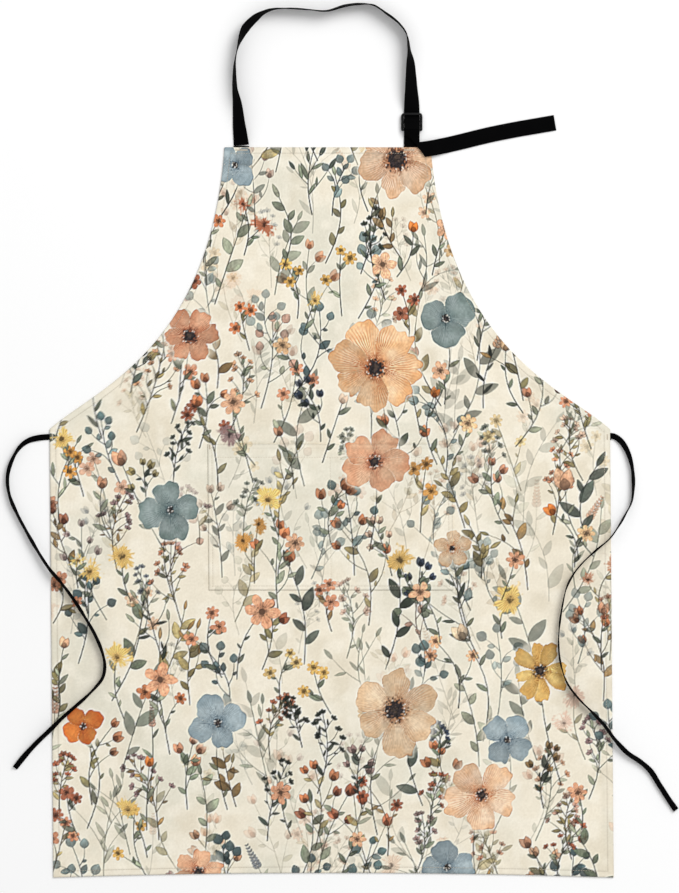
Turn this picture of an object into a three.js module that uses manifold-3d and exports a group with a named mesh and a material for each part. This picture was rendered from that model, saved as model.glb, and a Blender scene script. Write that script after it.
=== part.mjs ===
// A bib apron laid flat with its printed face up. Millimetres. +X is to the right of the laid apron,
// +Y runs up the bib towards the neck strap, +Z points out of the printed face, and the floor is z = 0.
// The origin is the middle of the cloth's outline, on the floor.
import * as THREE from "three";
import { mergeVertices } from "three/addons/utils/BufferGeometryUtils.js";
import Module from "manifold-3d";

// Cloth panel
const SKIRT_HALF_WIDTH = 330;
const BIB_HALF_WIDTH = 121.3;
const BIB_TOP = 430;
const SKIRT_TOP = 98;
const SKIRT_BOTTOM = -430;
const BOTTOM_EDGE_RISE = 5.5; // the bottom edge bows up in the middle
const LEAN = -0.0082; // sideways lean of the laid cloth for each millimetre up
const LEAN_LEVEL = (SKIRT_TOP + SKIRT_BOTTOM) / 2;
const ARMHOLE_BIB_PULL = [139.3, 190.4]; // Bezier handles of the armhole, as half width and height
const ARMHOLE_SKIRT_PULL = [278, 144.8];
const ARMHOLE_STEPS = 24;
const BOTTOM_STEPS = 12;

// Layers, from the floor up. Touching pieces keep GAP between them.
const GAP = 0.3;
const HEM_THICKNESS = 1.2;
const PANEL_BOTTOM = HEM_THICKNESS + GAP;
const PANEL_TOP = PANEL_BOTTOM + 1;
const THREAD_BOTTOM = PANEL_TOP + GAP;
const THREAD_THICKNESS = 0.4;
const THREAD_WIDTH = 0.8;
const HEM_WIDTH = 8;
const STITCH_INSET = HEM_WIDTH - 1.4;

// Pocket, two compartments side by side, standing a little open
const POCKET_HALF_WIDTH = 144;
const POCKET_TOP = 80.5;
const POCKET_BOTTOM = -91.5;
const POCKET_CLOTH = 0.8;
const POCKET_EDGE_BOTTOM = PANEL_TOP + GAP;
const POCKET_PANEL_BOTTOM = POCKET_EDGE_BOTTOM + POCKET_CLOTH + GAP;
const POCKET_PUFF = 6;
const POCKET_SEAM = 10; // flat margin along the sewn sides
const POCKET_DIVIDER_SEAM = 6; // flat margin each side of the divider
const POCKET_RAMP = 20; // width over which the puff rises from its seams
const POCKET_TURN = 8; // turned-in edge
const MOUTH_HEM = 18;

// Webbing neck strap and its slider buckle
const WEBBING_WIDTH = 18.4;
const WEBBING_THICKNESS = 1.2;
const SEWN_LENGTH = 18; // webbing held behind the bib
const STRAP_LEFT_X = -106.3;
const STRAP_RIGHT_X = 94.3;
const STRAP_HINGE_Y = BIB_TOP + 1.9;
const BUCKLE_Y = 459.8;
const BUCKLE_WIDTH = 25.2;
const BUCKLE_LENGTH = 21.6;
const BUCKLE_THICKNESS = 2.4;
const BUCKLE_CORNER = 4;
const BUCKLE_WINDOW_WIDTH = WEBBING_WIDTH + 0.8;
const BUCKLE_BAR = 2.8;
const BUCKLE_LEVEL = 2.9; // height of the bars' centre lines
const PIVOT_BAR_RADIUS = 1.1;
const PIVOT_BAR_Y = BUCKLE_Y - BUCKLE_LENGTH / 2 + 1.6;
const LOOP_INNER_RADIUS = PIVOT_BAR_RADIUS + GAP;
const LOOP_OUTER_RADIUS = LOOP_INNER_RADIUS + 1;

// Waist ties
const TIE_WIDTH = 7;
const TIE_THICKNESS = 1;
const TIE_Y = 88.8;
const TIE_SEWN_LENGTH = 14;
const TIE_OVERHANG = 1.2; // sewn tape showing past the side edge

// Routes: x, y, height of what lies under the tape, and roll in degrees, 0 face up and 90 on edge.
const ON_FLOOR = 0.2;
const ON_CLOTH = THREAD_BOTTOM + THREAD_THICKNESS + GAP;
const NECK_STRAP_ROUTE = [
  [-106.3, 432.4, ON_FLOOR, 12],
  [-107.5, 444, ON_FLOOR, 25],
  [-109, 457, ON_FLOOR, 38],
  [-111.2, 482, ON_FLOOR, 55],
  [-113.8, 498, ON_FLOOR, 73],
  [-114.4, 517, ON_FLOOR, 78],
  [-113.8, 530, ON_FLOOR, 84],
  [-111, 545, ON_FLOOR, 90],
  [-108, 555.5, ON_FLOOR, 100],
  [-101.5, 569.5, ON_FLOOR, 118],
  [-89, 582.3, ON_FLOOR, 112],
  [-80.3, 588, ON_FLOOR, 99],
  [-69, 592, ON_FLOOR, 89],
  [-49.5, 593, ON_FLOOR, 83],
  [-26.7, 591.5, ON_FLOOR, 84],
  [-6, 590, ON_FLOOR, 82],
  [15.5, 596, ON_FLOOR, 78],
  [30, 598, ON_FLOOR, 78],
  [48.5, 597, ON_FLOOR, 88],
  [64, 587.3, ON_FLOOR, 90],
  [79.3, 575.3, ON_FLOOR, 90],
  [88, 563, ON_FLOOR, 89],
  [91.2, 543.5, ON_FLOOR, 78],
  [92.7, 529.5, ON_FLOOR, 60],
  [93.6, 500, ON_FLOOR, 38],
  [94.2, 481, ON_FLOOR, 16],
  [94.3, 471.2, ON_FLOOR, 0],
];
const STRAP_TAIL_ROUTE = [
  [105.4, 427.1, ON_CLOTH, 0],
  [112, 428, ON_CLOTH, 0],
  [120, 429.3, ON_CLOTH, 0],
  [129, 431.2, 1.6, 0],
  [139, 433.4, ON_FLOOR, 0],
  [152, 436.5, ON_FLOOR, 0],
  [171, 441.2, ON_FLOOR, 0],
  [188, 445.2, ON_FLOOR, 0],
  [216, 450.8, ON_FLOOR, 0],
  [240, 455, ON_FLOOR, 0],
  [263, 459, ON_FLOOR, 0],
];
const LEFT_TIE_ROUTE = [
  [-334, TIE_Y, ON_FLOOR, 0],
  [-345, 87.8, ON_FLOOR, 12],
  [-356, 85, ON_FLOOR, 30],
  [-364.5, 79.5, ON_FLOOR, 40],
  [-372, 70, ON_FLOOR, 45],
  [-379.5, 53, ON_FLOOR, 45],
  [-381.8, 37, ON_FLOOR, 45],
  [-379, 19, ON_FLOOR, 48],
  [-370.7, -1, ON_FLOOR, 50],
  [-358.5, -24, 0.6, 50],
  [-346, -45.5, 1.8, 50],
  [-332.5, -66, ON_CLOTH, 50],
  [-317.7, -83.5, ON_CLOTH, 50],
  [-304, -102, ON_CLOTH, 50],
  [-290.5, -123, ON_CLOTH, 52],
  [-277.5, -146, ON_CLOTH, 55],
  [-269.2, -167, ON_CLOTH, 60],
  [-267, -182, ON_CLOTH, 64],
  [-269.5, -194.5, ON_CLOTH, 60],
  [-278, -206, ON_CLOTH, 52],
  [-290.5, -218.5, ON_CLOTH, 48],
  [-304, -230.3, ON_CLOTH, 45],
  [-317.7, -242.5, ON_CLOTH, 42],
  [-332.5, -257, ON_CLOTH, 40],
  [-346, -269.8, 1.6, 36],
  [-361, -286, ON_FLOOR, 30],
  [-373, -301, ON_FLOOR, 24],
];
const RIGHT_TIE_ROUTE = [
  [332.6, TIE_Y, ON_FLOOR, 0],
  [339.5, 85, ON_FLOOR, 18],
  [347, 74.5, ON_FLOOR, 35],
  [352.8, 58, ON_FLOOR, 45],
  [355, 42, ON_FLOOR, 52],
  [355, 27, ON_FLOOR, 62],
  [353, 12, 0.6, 70],
  [346, -2, 1.6, 62],
  [336.5, -18, ON_CLOTH, 50],
  [327.3, -31, ON_CLOTH, 46],
  [313, -42, ON_CLOTH, 48],
  [297, -57, ON_CLOTH, 52],
  [285, -72, ON_CLOTH, 56],
  [276.5, -88.5, ON_CLOTH, 60],
  [271.5, -110, ON_CLOTH, 63],
  [268, -134, ON_CLOTH, 65],
  [267, -156, ON_CLOTH, 65],
  [269.5, -178, ON_CLOTH, 62],
  [277, -200.5, ON_CLOTH, 58],
  [291, -219.5, ON_CLOTH, 54],
  [306, -234.5, ON_CLOTH, 50],
  [320.5, -250, ON_CLOTH, 45],
  [333, -267, ON_CLOTH, 42],
  [348, -283, 1.4, 38],
  [364, -294, ON_FLOOR, 34],
  [375, -304, ON_FLOOR, 30],
  [386, -321, ON_FLOOR, 26],
  [397.5, -339, ON_FLOOR, 22],
  [405.5, -350.5, ON_FLOOR, 20],
];
const NECK_STRAP_STEPS = 44;
const TAIL_STEPS = 12;
const TIE_STEPS = 36;

const wasm = await Module();
wasm.setup();
const apron = new THREE.Group();

const finish = (color, roughness) => new THREE.MeshStandardMaterial({ color, roughness, metalness: 0 });
const clothMaterial = () => finish(0xece4d4, 0.85);
const hemMaterial = () => finish(0xe6ddcc, 0.88);
const threadMaterial = () => finish(0xe9e0cf, 0.6);
const webbingMaterial = () => finish(0x101012, 0.75);
const plasticMaterial = () => finish(0x0c0c0d, 0.4);

function add(name, geometry, material) {
  const mesh = new THREE.Mesh(geometry, material);
  mesh.name = name;
  apron.add(mesh);
}

// Shears a flat outline by the lean of the laid cloth.
function leaned([x, y]) {
  return new THREE.Vector2(x + LEAN * (y - LEAN_LEVEL), y);
}

// A flat plate over an outline, between two heights.
function plate(outline, bottom, top) {
  const shape = new THREE.Shape(outline);
  const geometry = new THREE.ExtrudeGeometry(shape, { depth: top - bottom, bevelEnabled: false });
  return geometry.translate(0, 0, bottom);
}

function rectangle(x0, x1, y0, y1) {
  return [[x0, y0], [x1, y0], [x1, y1], [x0, y1]].map(([x, y]) => new THREE.Vector2(x, y));
}

function box(x0, x1, y0, y1, z0, z1) {
  return plate(rectangle(x0, x1, y0, y1), z0, z1);
}

// Moves a polyline sideways, to the right of its direction of travel.
function offsetLine(line, distance) {
  return line.map(([x, y], i) => {
    const [ax, ay] = line[Math.max(i - 1, 0)];
    const [bx, by] = line[Math.min(i + 1, line.length - 1)];
    const length = Math.hypot(bx - ax, by - ay);
    return [x + ((by - ay) / length) * distance, y - ((bx - ax) / length) * distance];
  });
}

// A strip of cloth or thread that follows a line of the outline, from one inset to another.
function strip(line, nearInset, farInset, bottom, top) {
  const outline = [...offsetLine(line, nearInset), ...offsetLine(line, farInset).reverse()];
  return plate(outline.map(leaned), bottom, top);
}

// Edge lines of the cloth, each with the cloth on the right of its direction of travel.
const armholeCurve = new THREE.CubicBezierCurve(
  new THREE.Vector2(BIB_HALF_WIDTH, BIB_TOP),
  new THREE.Vector2(...ARMHOLE_BIB_PULL),
  new THREE.Vector2(...ARMHOLE_SKIRT_PULL),
  new THREE.Vector2(SKIRT_HALF_WIDTH, SKIRT_TOP),
);
const rightArmhole = armholeCurve.getSpacedPoints(ARMHOLE_STEPS).map((p) => [p.x, p.y]);
const mirrored = (line) => line.map(([x, y]) => [-x, y]).reverse();
const leftArmhole = mirrored(rightArmhole);
const bottomEdge = Array.from({ length: BOTTOM_STEPS + 1 }, (_, i) => {
  const across = 1 - (2 * i) / BOTTOM_STEPS;
  return [SKIRT_HALF_WIDTH * across, SKIRT_BOTTOM + BOTTOM_EDGE_RISE * (1 - across * across)];
});
const topEdge = (x0, x1) => [[x0, BIB_TOP], [x1, BIB_TOP]];
const rightSide = (top, bottom) => [[SKIRT_HALF_WIDTH, top], [SKIRT_HALF_WIDTH, bottom]];

// Front panel
const panelOutline = [...leftArmhole, ...rightArmhole, ...bottomEdge];
add("front_panel", plate(panelOutline.map(leaned), PANEL_BOTTOM, PANEL_TOP), clothMaterial());

// Hems, folded behind the edges, and their rows of stitching on the printed face
const leanAtBib = LEAN * (BIB_TOP - LEAN_LEVEL);
const hemLeftX = STRAP_LEFT_X + WEBBING_WIDTH / 2 + 0.4 - leanAtBib;
const hemRightX = STRAP_RIGHT_X - WEBBING_WIDTH / 2 - 0.4 - leanAtBib;
const tieTop = TIE_Y + TIE_WIDTH / 2;
const tieBottom = TIE_Y - TIE_WIDTH / 2;
const armholeHem = rightArmhole.slice(0, ARMHOLE_STEPS);
const sideHem = rightSide(tieBottom - 0.5, SKIRT_BOTTOM + HEM_WIDTH + 0.4);
const sideStitches = rightSide(SKIRT_TOP - HEM_WIDTH, SKIRT_BOTTOM + HEM_WIDTH);
const bibStitches = topEdge(-BIB_HALF_WIDTH + HEM_WIDTH, BIB_HALF_WIDTH - HEM_WIDTH);
const bottomStitches = bottomEdge.slice(1, BOTTOM_STEPS);
const hemmedEdges = [
  ["bib_top", topEdge(hemLeftX, hemRightX), bibStitches],
  ["left_armhole", mirrored(armholeHem), mirrored(armholeHem.slice(1))],
  ["right_armhole", armholeHem, armholeHem.slice(1)],
  ["left_side", mirrored(sideHem), mirrored(sideStitches)],
  ["right_side", sideHem, sideStitches],
  ["bottom", bottomEdge, bottomStitches],
];
for (const [edge, hemLine, stitchLine] of hemmedEdges) {
  add(`${edge}_hem`, strip(hemLine, 0, HEM_WIDTH, 0, HEM_THICKNESS), hemMaterial());
  const thread = strip(
    stitchLine,
    STITCH_INSET,
    STITCH_INSET + THREAD_WIDTH,
    THREAD_BOTTOM,
    THREAD_BOTTOM + THREAD_THICKNESS,
  );
  add(`${edge}_stitching`, thread, threadMaterial());
}

// Pocket: height of the puffed cloth above its flat margins, the same up every seam's ramp
const compartmentInner = POCKET_DIVIDER_SEAM;
const compartmentOuter = POCKET_HALF_WIDTH - POCKET_SEAM;
const compartmentFloor = POCKET_BOTTOM + POCKET_SEAM;
function puff(x, y) {
  const near = Math.abs(x);
  const fromSeam = Math.min(near - compartmentInner, compartmentOuter - near, y - compartmentFloor);
  return POCKET_PUFF * THREE.MathUtils.clamp(fromSeam / POCKET_RAMP, 0, 1);
}

// A closed sheet over a grid of x and y values, from low(x, y) up to low(x, y) + thickness.
function sheet(xs, ys, low, thickness) {
  const points = [];
  for (const lift of [0, thickness])
    for (const y of ys)
      for (const x of xs) {
        const p = leaned([x, y]);
        points.push(p.x, p.y, low(x, y) + lift);
      }
  const columns = xs.length;
  const layer = columns * ys.length;
  const index = [];
  const quad = (a, b, c, d) => index.push(a, b, c, a, c, d);
  for (let j = 0; j < ys.length - 1; j++)
    for (let i = 0; i < columns - 1; i++) {
      const a = j * columns + i;
      quad(a, a + columns, a + columns + 1, a + 1);
      quad(layer + a, layer + a + 1, layer + a + columns + 1, layer + a + columns);
    }
  const wall = (a, b) => quad(a, b, layer + b, layer + a);
  for (let i = 0; i < columns - 1; i++) {
    wall(i, i + 1);
    wall(layer - 1 - i, layer - 2 - i);
  }
  for (let j = 0; j < ys.length - 1; j++) {
    wall((j + 1) * columns, j * columns);
    wall((j + 1) * columns - 1, (j + 2) * columns - 1);
  }
  const geometry = new THREE.BufferGeometry();
  geometry.setAttribute("position", new THREE.Float32BufferAttribute(points, 3));
  geometry.setIndex(index);
  return geometry;
}

function steps(from, to, count) {
  return Array.from({ length: count + 1 }, (_, i) => from + ((to - from) * i) / count);
}
const halfPocket = [
  0,
  ...steps(compartmentInner, compartmentInner + POCKET_RAMP, 2),
  ...steps(compartmentOuter - POCKET_RAMP, compartmentOuter, 2),
  POCKET_HALF_WIDTH,
];
const pocketXs = [...halfPocket.slice(1).map((x) => -x).reverse(), ...halfPocket];
const pocketYs = [
  POCKET_BOTTOM,
  ...steps(compartmentFloor, compartmentFloor + POCKET_RAMP, 2),
  POCKET_TOP - MOUTH_HEM,
  POCKET_TOP,
];
const mouthXs = pocketXs.filter((x) => Math.abs(x) < POCKET_HALF_WIDTH - POCKET_TURN - GAP);
const mouthYs = [POCKET_TOP - MOUTH_HEM, POCKET_TOP];
const pocketLow = (x, y) => POCKET_PANEL_BOTTOM + puff(x, y);
const mouthHemLow = (x, y) => pocketLow(x, y) - GAP - POCKET_CLOTH;
const pocketThreadLow = (x, y) => pocketLow(x, y) + POCKET_CLOTH + GAP;
const mouthStitchY = POCKET_TOP - MOUTH_HEM + 2;
add("pocket_panel", sheet(pocketXs, pocketYs, pocketLow, POCKET_CLOTH), clothMaterial());
add("pocket_mouth_hem", sheet(mouthXs, mouthYs, mouthHemLow, POCKET_CLOTH), hemMaterial());
add(
  "pocket_mouth_stitching",
  sheet(mouthXs, [mouthStitchY, mouthStitchY + THREAD_WIDTH], pocketThreadLow, THREAD_THICKNESS),
  threadMaterial(),
);

// A U of cloth or thread round the pocket's sewn sides and bottom
function pocketRim(nearInset, farInset, top, bottom, height) {
  const ring = (inset) => [
    [-POCKET_HALF_WIDTH + inset, top],
    [-POCKET_HALF_WIDTH + inset, POCKET_BOTTOM + inset],
    [POCKET_HALF_WIDTH - inset, POCKET_BOTTOM + inset],
    [POCKET_HALF_WIDTH - inset, top],
  ];
  const outline = [...ring(nearInset), ...ring(farInset).reverse()];
  return plate(outline.map(leaned), bottom, bottom + height);
}
const pocketThreadLevel = pocketThreadLow(0, POCKET_BOTTOM);
const rimStitch = 4.4;
add(
  "pocket_turned_edge",
  pocketRim(0, POCKET_TURN, POCKET_TOP, POCKET_EDGE_BOTTOM, POCKET_CLOTH),
  hemMaterial(),
);
add(
  "pocket_rim_stitching",
  pocketRim(rimStitch, rimStitch + THREAD_WIDTH, POCKET_TOP - 4, pocketThreadLevel, THREAD_THICKNESS),
  threadMaterial(),
);
const dividerOutline = rectangle(
  -THREAD_WIDTH / 2,
  THREAD_WIDTH / 2,
  POCKET_BOTTOM + rimStitch + 2,
  mouthStitchY - 1,
).map((p) => leaned([p.x, p.y]));
add(
  "pocket_divider_stitching",
  plate(dividerOutline, pocketThreadLevel, pocketThreadLevel + THREAD_THICKNESS),
  threadMaterial(),
);

// Bar tacks, each a short dense bar of thread
function barTack(name, x, y, width, length, level) {
  const tack = box(x - width / 2, x + width / 2, y - length / 2, y + length / 2, level, level + 0.5);
  add(name, tack, threadMaterial());
}
const tackLift = 0.2;
for (const [side, sign] of [["left", -1], ["right", 1]]) {
  const mouthEnd = leaned([sign * (POCKET_HALF_WIDTH - 2.4), POCKET_TOP - 6]);
  barTack(`${side}_pocket_bar_tack`, mouthEnd.x, mouthEnd.y + 2.6, 2.2, 5, pocketThreadLevel + tackLift);
}
barTack("neck_strap_bar_tack", STRAP_LEFT_X, BIB_TOP - 3.2, 14, 2, THREAD_BOTTOM);
barTack("buckle_loop_bar_tack", STRAP_RIGHT_X - 3, BIB_TOP - 3.2, 12, 2, THREAD_BOTTOM);
const leanAtTie = LEAN * (TIE_Y - LEAN_LEVEL);
for (const [side, sign] of [["left", -1], ["right", 1]]) {
  const x = sign * (SKIRT_HALF_WIDTH - 3.2) + leanAtTie;
  barTack(`${side}_tie_bar_tack`, x, TIE_Y, 2, TIE_WIDTH - 1, THREAD_BOTTOM);
}

// Sewn ends of the webbing and the ties, flat behind the cloth
const sewnBottom = BIB_TOP - SEWN_LENGTH;
const sewnTop = STRAP_HINGE_Y - GAP;
for (const [name, x] of [["neck_strap_sewn_end", STRAP_LEFT_X], ["buckle_loop_sewn_end", STRAP_RIGHT_X]]) {
  const half = WEBBING_WIDTH / 2;
  add(name, box(x - half, x + half, sewnBottom, sewnTop, 0, WEBBING_THICKNESS), webbingMaterial());
}
for (const [name, sign] of [["left_tie_sewn_end", -1], ["right_tie_sewn_end", 1]]) {
  const outer = sign * (SKIRT_HALF_WIDTH + TIE_OVERHANG) + leanAtTie;
  const inner = outer - sign * (TIE_SEWN_LENGTH + TIE_OVERHANG);
  const tab = box(Math.min(outer, inner), Math.max(outer, inner), tieBottom, tieTop, 0, TIE_THICKNESS);
  add(name, tab, webbingMaterial());
}

// A path for flat tape that lies on a surface: a rolled tape rests on its lower edge.
class TapePath extends THREE.CatmullRomCurve3 {
  constructor(route, width, thickness) {
    const restingPoint = ([x, y, ground, roll]) => {
      const angle = THREE.MathUtils.degToRad(roll);
      const rise = Math.abs(Math.sin(angle)) * width + Math.abs(Math.cos(angle)) * thickness;
      return new THREE.Vector3(x, y, ground + rise / 2);
    };
    super(route.map(restingPoint), false, "centripetal");
    this.rolls = route.map((point) => point[3]);
  }

  rollAt(u) {
    const place = this.getUtoTmapping(u) * (this.rolls.length - 1);
    const before = Math.min(Math.floor(place), this.rolls.length - 2);
    return THREE.MathUtils.lerp(this.rolls[before], this.rolls[before + 1], place - before);
  }

  computeFrenetFrames(count) {
    const frames = { tangents: [], normals: [], binormals: [] };
    for (let i = 0; i <= count; i++) {
      const tangent = this.getTangentAt(i / count);
      const side = new THREE.Vector3(tangent.y, -tangent.x, 0).normalize();
      const across = side.applyAxisAngle(tangent, -THREE.MathUtils.degToRad(this.rollAt(i / count)));
      frames.tangents.push(tangent);
      frames.normals.push(across);
      frames.binormals.push(new THREE.Vector3().crossVectors(tangent, across));
    }
    return frames;
  }
}

// Flat tape along a route: an eight-sided section, wide along the path's normal.
function tape(route, width, thickness, count) {
  const a = width / 2;
  const b = thickness / 2;
  const c = thickness / 4;
  const lower = [[-a, -b + c], [-a + c, -b], [a - c, -b], [a, -b + c]];
  const upper = lower.map(([x, y]) => [-x, -y]);
  const section = new THREE.Shape([...lower, ...upper].map(([x, y]) => new THREE.Vector2(x, y)));
  const path = new TapePath(route, width, thickness);
  return new THREE.ExtrudeGeometry(section, { steps: count, extrudePath: path, bevelEnabled: false });
}
const webbing = (route, count) => tape(route, WEBBING_WIDTH, WEBBING_THICKNESS, count);
const tie = (route) => tape(route, TIE_WIDTH, TIE_THICKNESS, TIE_STEPS);
add("neck_strap", webbing(NECK_STRAP_ROUTE, NECK_STRAP_STEPS), webbingMaterial());
add("strap_tail", webbing(STRAP_TAIL_ROUTE, TAIL_STEPS), webbingMaterial());
add("left_tie", tie(LEFT_TIE_ROUTE), webbingMaterial());
add("right_tie", tie(RIGHT_TIE_ROUTE), webbingMaterial());

// Turns a profile drawn as (y, z) into a piece of webbing or plastic that is wide along X.
function acrossX(shape, width, x) {
  const settings = { depth: width, bevelEnabled: false, curveSegments: 10 };
  const geometry = new THREE.ExtrudeGeometry(shape, settings);
  return geometry.rotateX(Math.PI / 2).rotateZ(Math.PI / 2).translate(x - width / 2, 0, 0);
}

// Webbing bent in the YZ plane along a line of (y, z) points that runs towards +Y.
function bentWebbing(line, x) {
  const half = WEBBING_THICKNESS / 2;
  const outline = [...offsetLine(line, half), ...offsetLine(line, -half).reverse()];
  return acrossX(new THREE.Shape(outline.map(([y, z]) => new THREE.Vector2(y, z))), WEBBING_WIDTH, x);
}

// The strap's pass through the buckle: under the top bar, over the middle bar and over the pivot bar
const overPivot = BUCKLE_LEVEL + LOOP_OUTER_RADIUS + GAP + WEBBING_THICKNESS / 2;
const overMiddle = BUCKLE_LEVEL + BUCKLE_THICKNESS / 2 + GAP + WEBBING_THICKNESS / 2;
const strapPass = [
  [PIVOT_BAR_Y, overPivot],
  [PIVOT_BAR_Y + 3, overPivot - 0.2],
  [BUCKLE_Y - 2.5, overMiddle + 0.2],
  [BUCKLE_Y + 2.5, overMiddle],
  [BUCKLE_Y + 5.2, 2.6],
  [BUCKLE_Y + 7.4, 0.8],
  [BUCKLE_Y + BUCKLE_LENGTH / 2 + 0.2, 0.7],
];
add("strap_in_buckle", bentWebbing(strapPass, STRAP_RIGHT_X), webbingMaterial());

// The first stretch of the tail, lying on the buckle's loop between the buckle and the bib
const leadRoom = 1.8; // clear of the strap in the buckle when the buckle tilts
const strapLead = [
  [BIB_TOP + 4.6, 2.3],
  [BIB_TOP + 10, 2.35],
  [BIB_TOP + 14, 3.9],
  [PIVOT_BAR_Y - leadRoom - 0.8, overPivot - 0.5],
  [PIVOT_BAR_Y - leadRoom, overPivot],
];
add("strap_lead", bentWebbing(strapLead, STRAP_RIGHT_X), webbingMaterial());

// The short webbing loop that holds the buckle: a closed fold round the pivot bar, sewn flat below it
const loopShape = new THREE.Shape();
loopShape.moveTo(STRAP_HINGE_Y + GAP, 0.1);
loopShape.lineTo(BIB_TOP + 12, 0.1);
loopShape.lineTo(PIVOT_BAR_Y, BUCKLE_LEVEL - LOOP_OUTER_RADIUS);
loopShape.absarc(PIVOT_BAR_Y, BUCKLE_LEVEL, LOOP_OUTER_RADIUS, -Math.PI / 2, Math.PI * 0.62, false);
loopShape.lineTo(BIB_TOP + 11, 1.3);
loopShape.lineTo(STRAP_HINGE_Y + GAP, 1.3);
const loopHole = new THREE.Path();
loopHole.absarc(PIVOT_BAR_Y, BUCKLE_LEVEL, LOOP_INNER_RADIUS, 0, 2 * Math.PI, true);
loopShape.holes.push(loopHole);
add("buckle_loop", acrossX(loopShape, WEBBING_WIDTH, STRAP_RIGHT_X), webbingMaterial());

// Slider buckle: a rounded frame with a middle bar, and a round pivot bar in place of its lower edge
function solid(geometry) {
  const bare = geometry.clone();
  bare.deleteAttribute("normal");
  bare.deleteAttribute("uv");
  const merged = mergeVertices(bare, 1e-3);
  const mesh = new wasm.Mesh({
    numProp: 3,
    vertProperties: new Float32Array(merged.attributes.position.array),
    triVerts: new Uint32Array(merged.index.array),
  });
  return new wasm.Manifold(mesh);
}

function geometryOf(manifold) {
  const mesh = manifold.getMesh();
  const geometry = new THREE.BufferGeometry();
  geometry.setAttribute("position", new THREE.BufferAttribute(mesh.vertProperties, mesh.numProp));
  geometry.setIndex(new THREE.BufferAttribute(mesh.triVerts, 1));
  return geometry;
}

function roundedRectangle(width, length, radius) {
  const shape = new THREE.Shape();
  const a = width / 2 - radius;
  const b = length / 2 - radius;
  shape.absarc(a, b, radius, 0, Math.PI / 2, false);
  shape.absarc(-a, b, radius, Math.PI / 2, Math.PI, false);
  shape.absarc(-a, -b, radius, Math.PI, 1.5 * Math.PI, false);
  shape.absarc(a, -b, radius, 1.5 * Math.PI, 2 * Math.PI, false);
  return shape;
}

function buckleFrame() {
  const halfWindow = BUCKLE_WINDOW_WIDTH / 2;
  const halfLength = BUCKLE_LENGTH / 2;
  const bottom = BUCKLE_LEVEL - BUCKLE_THICKNESS / 2;
  const outer = roundedRectangle(BUCKLE_WIDTH, BUCKLE_LENGTH, BUCKLE_CORNER);
  const plateSolid = solid(
    new THREE.ExtrudeGeometry(outer, { depth: BUCKLE_THICKNESS, bevelEnabled: false, curveSegments: 8 })
      .translate(STRAP_RIGHT_X, BUCKLE_Y, bottom),
  );
  const window = (y0, y1) =>
    solid(box(STRAP_RIGHT_X - halfWindow, STRAP_RIGHT_X + halfWindow, BUCKLE_Y + y0, BUCKLE_Y + y1, -1, 9));
  const upperSlot = window(1.5, halfLength - BUCKLE_BAR);
  const lowerSlot = window(-halfLength - 1, -1.5);
  const pivot = solid(
    new THREE.CylinderGeometry(PIVOT_BAR_RADIUS, PIVOT_BAR_RADIUS, BUCKLE_WINDOW_WIDTH + 1, 20)
      .rotateZ(Math.PI / 2)
      .translate(STRAP_RIGHT_X, PIVOT_BAR_Y, BUCKLE_LEVEL),
  );
  return geometryOf(plateSolid.subtract(upperSlot).subtract(lowerSlot).add(pivot));
}
add("buckle", buckleFrame(), plasticMaterial());

export default apron;
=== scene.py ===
"""The looks of a bib apron laid flat: printed cloth, pocket, hems, stitches, webbing strap, buckle and ties.

Metres, in the frame's axes: +X right, +Y up the bib, +Z out of the printed face, floor at z = 0.
The print is painted by the functions below, in millimetres, and carried by a colour attribute.
"""

import math

import bpy
import numpy as np
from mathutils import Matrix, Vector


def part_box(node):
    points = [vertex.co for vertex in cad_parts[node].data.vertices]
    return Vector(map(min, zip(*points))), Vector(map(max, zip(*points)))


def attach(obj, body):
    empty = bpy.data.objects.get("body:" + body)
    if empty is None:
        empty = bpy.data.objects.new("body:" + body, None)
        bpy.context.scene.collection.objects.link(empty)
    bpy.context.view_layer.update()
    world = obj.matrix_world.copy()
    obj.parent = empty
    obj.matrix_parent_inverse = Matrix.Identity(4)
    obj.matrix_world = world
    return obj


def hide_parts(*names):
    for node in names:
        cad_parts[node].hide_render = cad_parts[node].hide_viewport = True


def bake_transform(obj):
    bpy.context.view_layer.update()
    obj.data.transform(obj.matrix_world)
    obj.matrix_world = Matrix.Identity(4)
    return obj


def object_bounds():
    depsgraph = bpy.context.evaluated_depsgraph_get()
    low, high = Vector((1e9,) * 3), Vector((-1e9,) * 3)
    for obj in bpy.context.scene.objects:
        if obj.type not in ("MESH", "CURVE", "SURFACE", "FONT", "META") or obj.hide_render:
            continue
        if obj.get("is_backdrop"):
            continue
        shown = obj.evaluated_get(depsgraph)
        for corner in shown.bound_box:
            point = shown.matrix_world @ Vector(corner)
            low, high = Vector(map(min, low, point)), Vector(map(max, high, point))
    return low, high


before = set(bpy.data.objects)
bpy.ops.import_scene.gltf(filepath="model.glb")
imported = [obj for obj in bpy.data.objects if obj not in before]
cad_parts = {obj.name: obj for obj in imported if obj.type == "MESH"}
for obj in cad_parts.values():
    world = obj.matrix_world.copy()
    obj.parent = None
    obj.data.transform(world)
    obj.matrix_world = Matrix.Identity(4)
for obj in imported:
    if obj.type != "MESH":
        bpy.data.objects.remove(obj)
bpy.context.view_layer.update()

MM = 0.001

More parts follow.
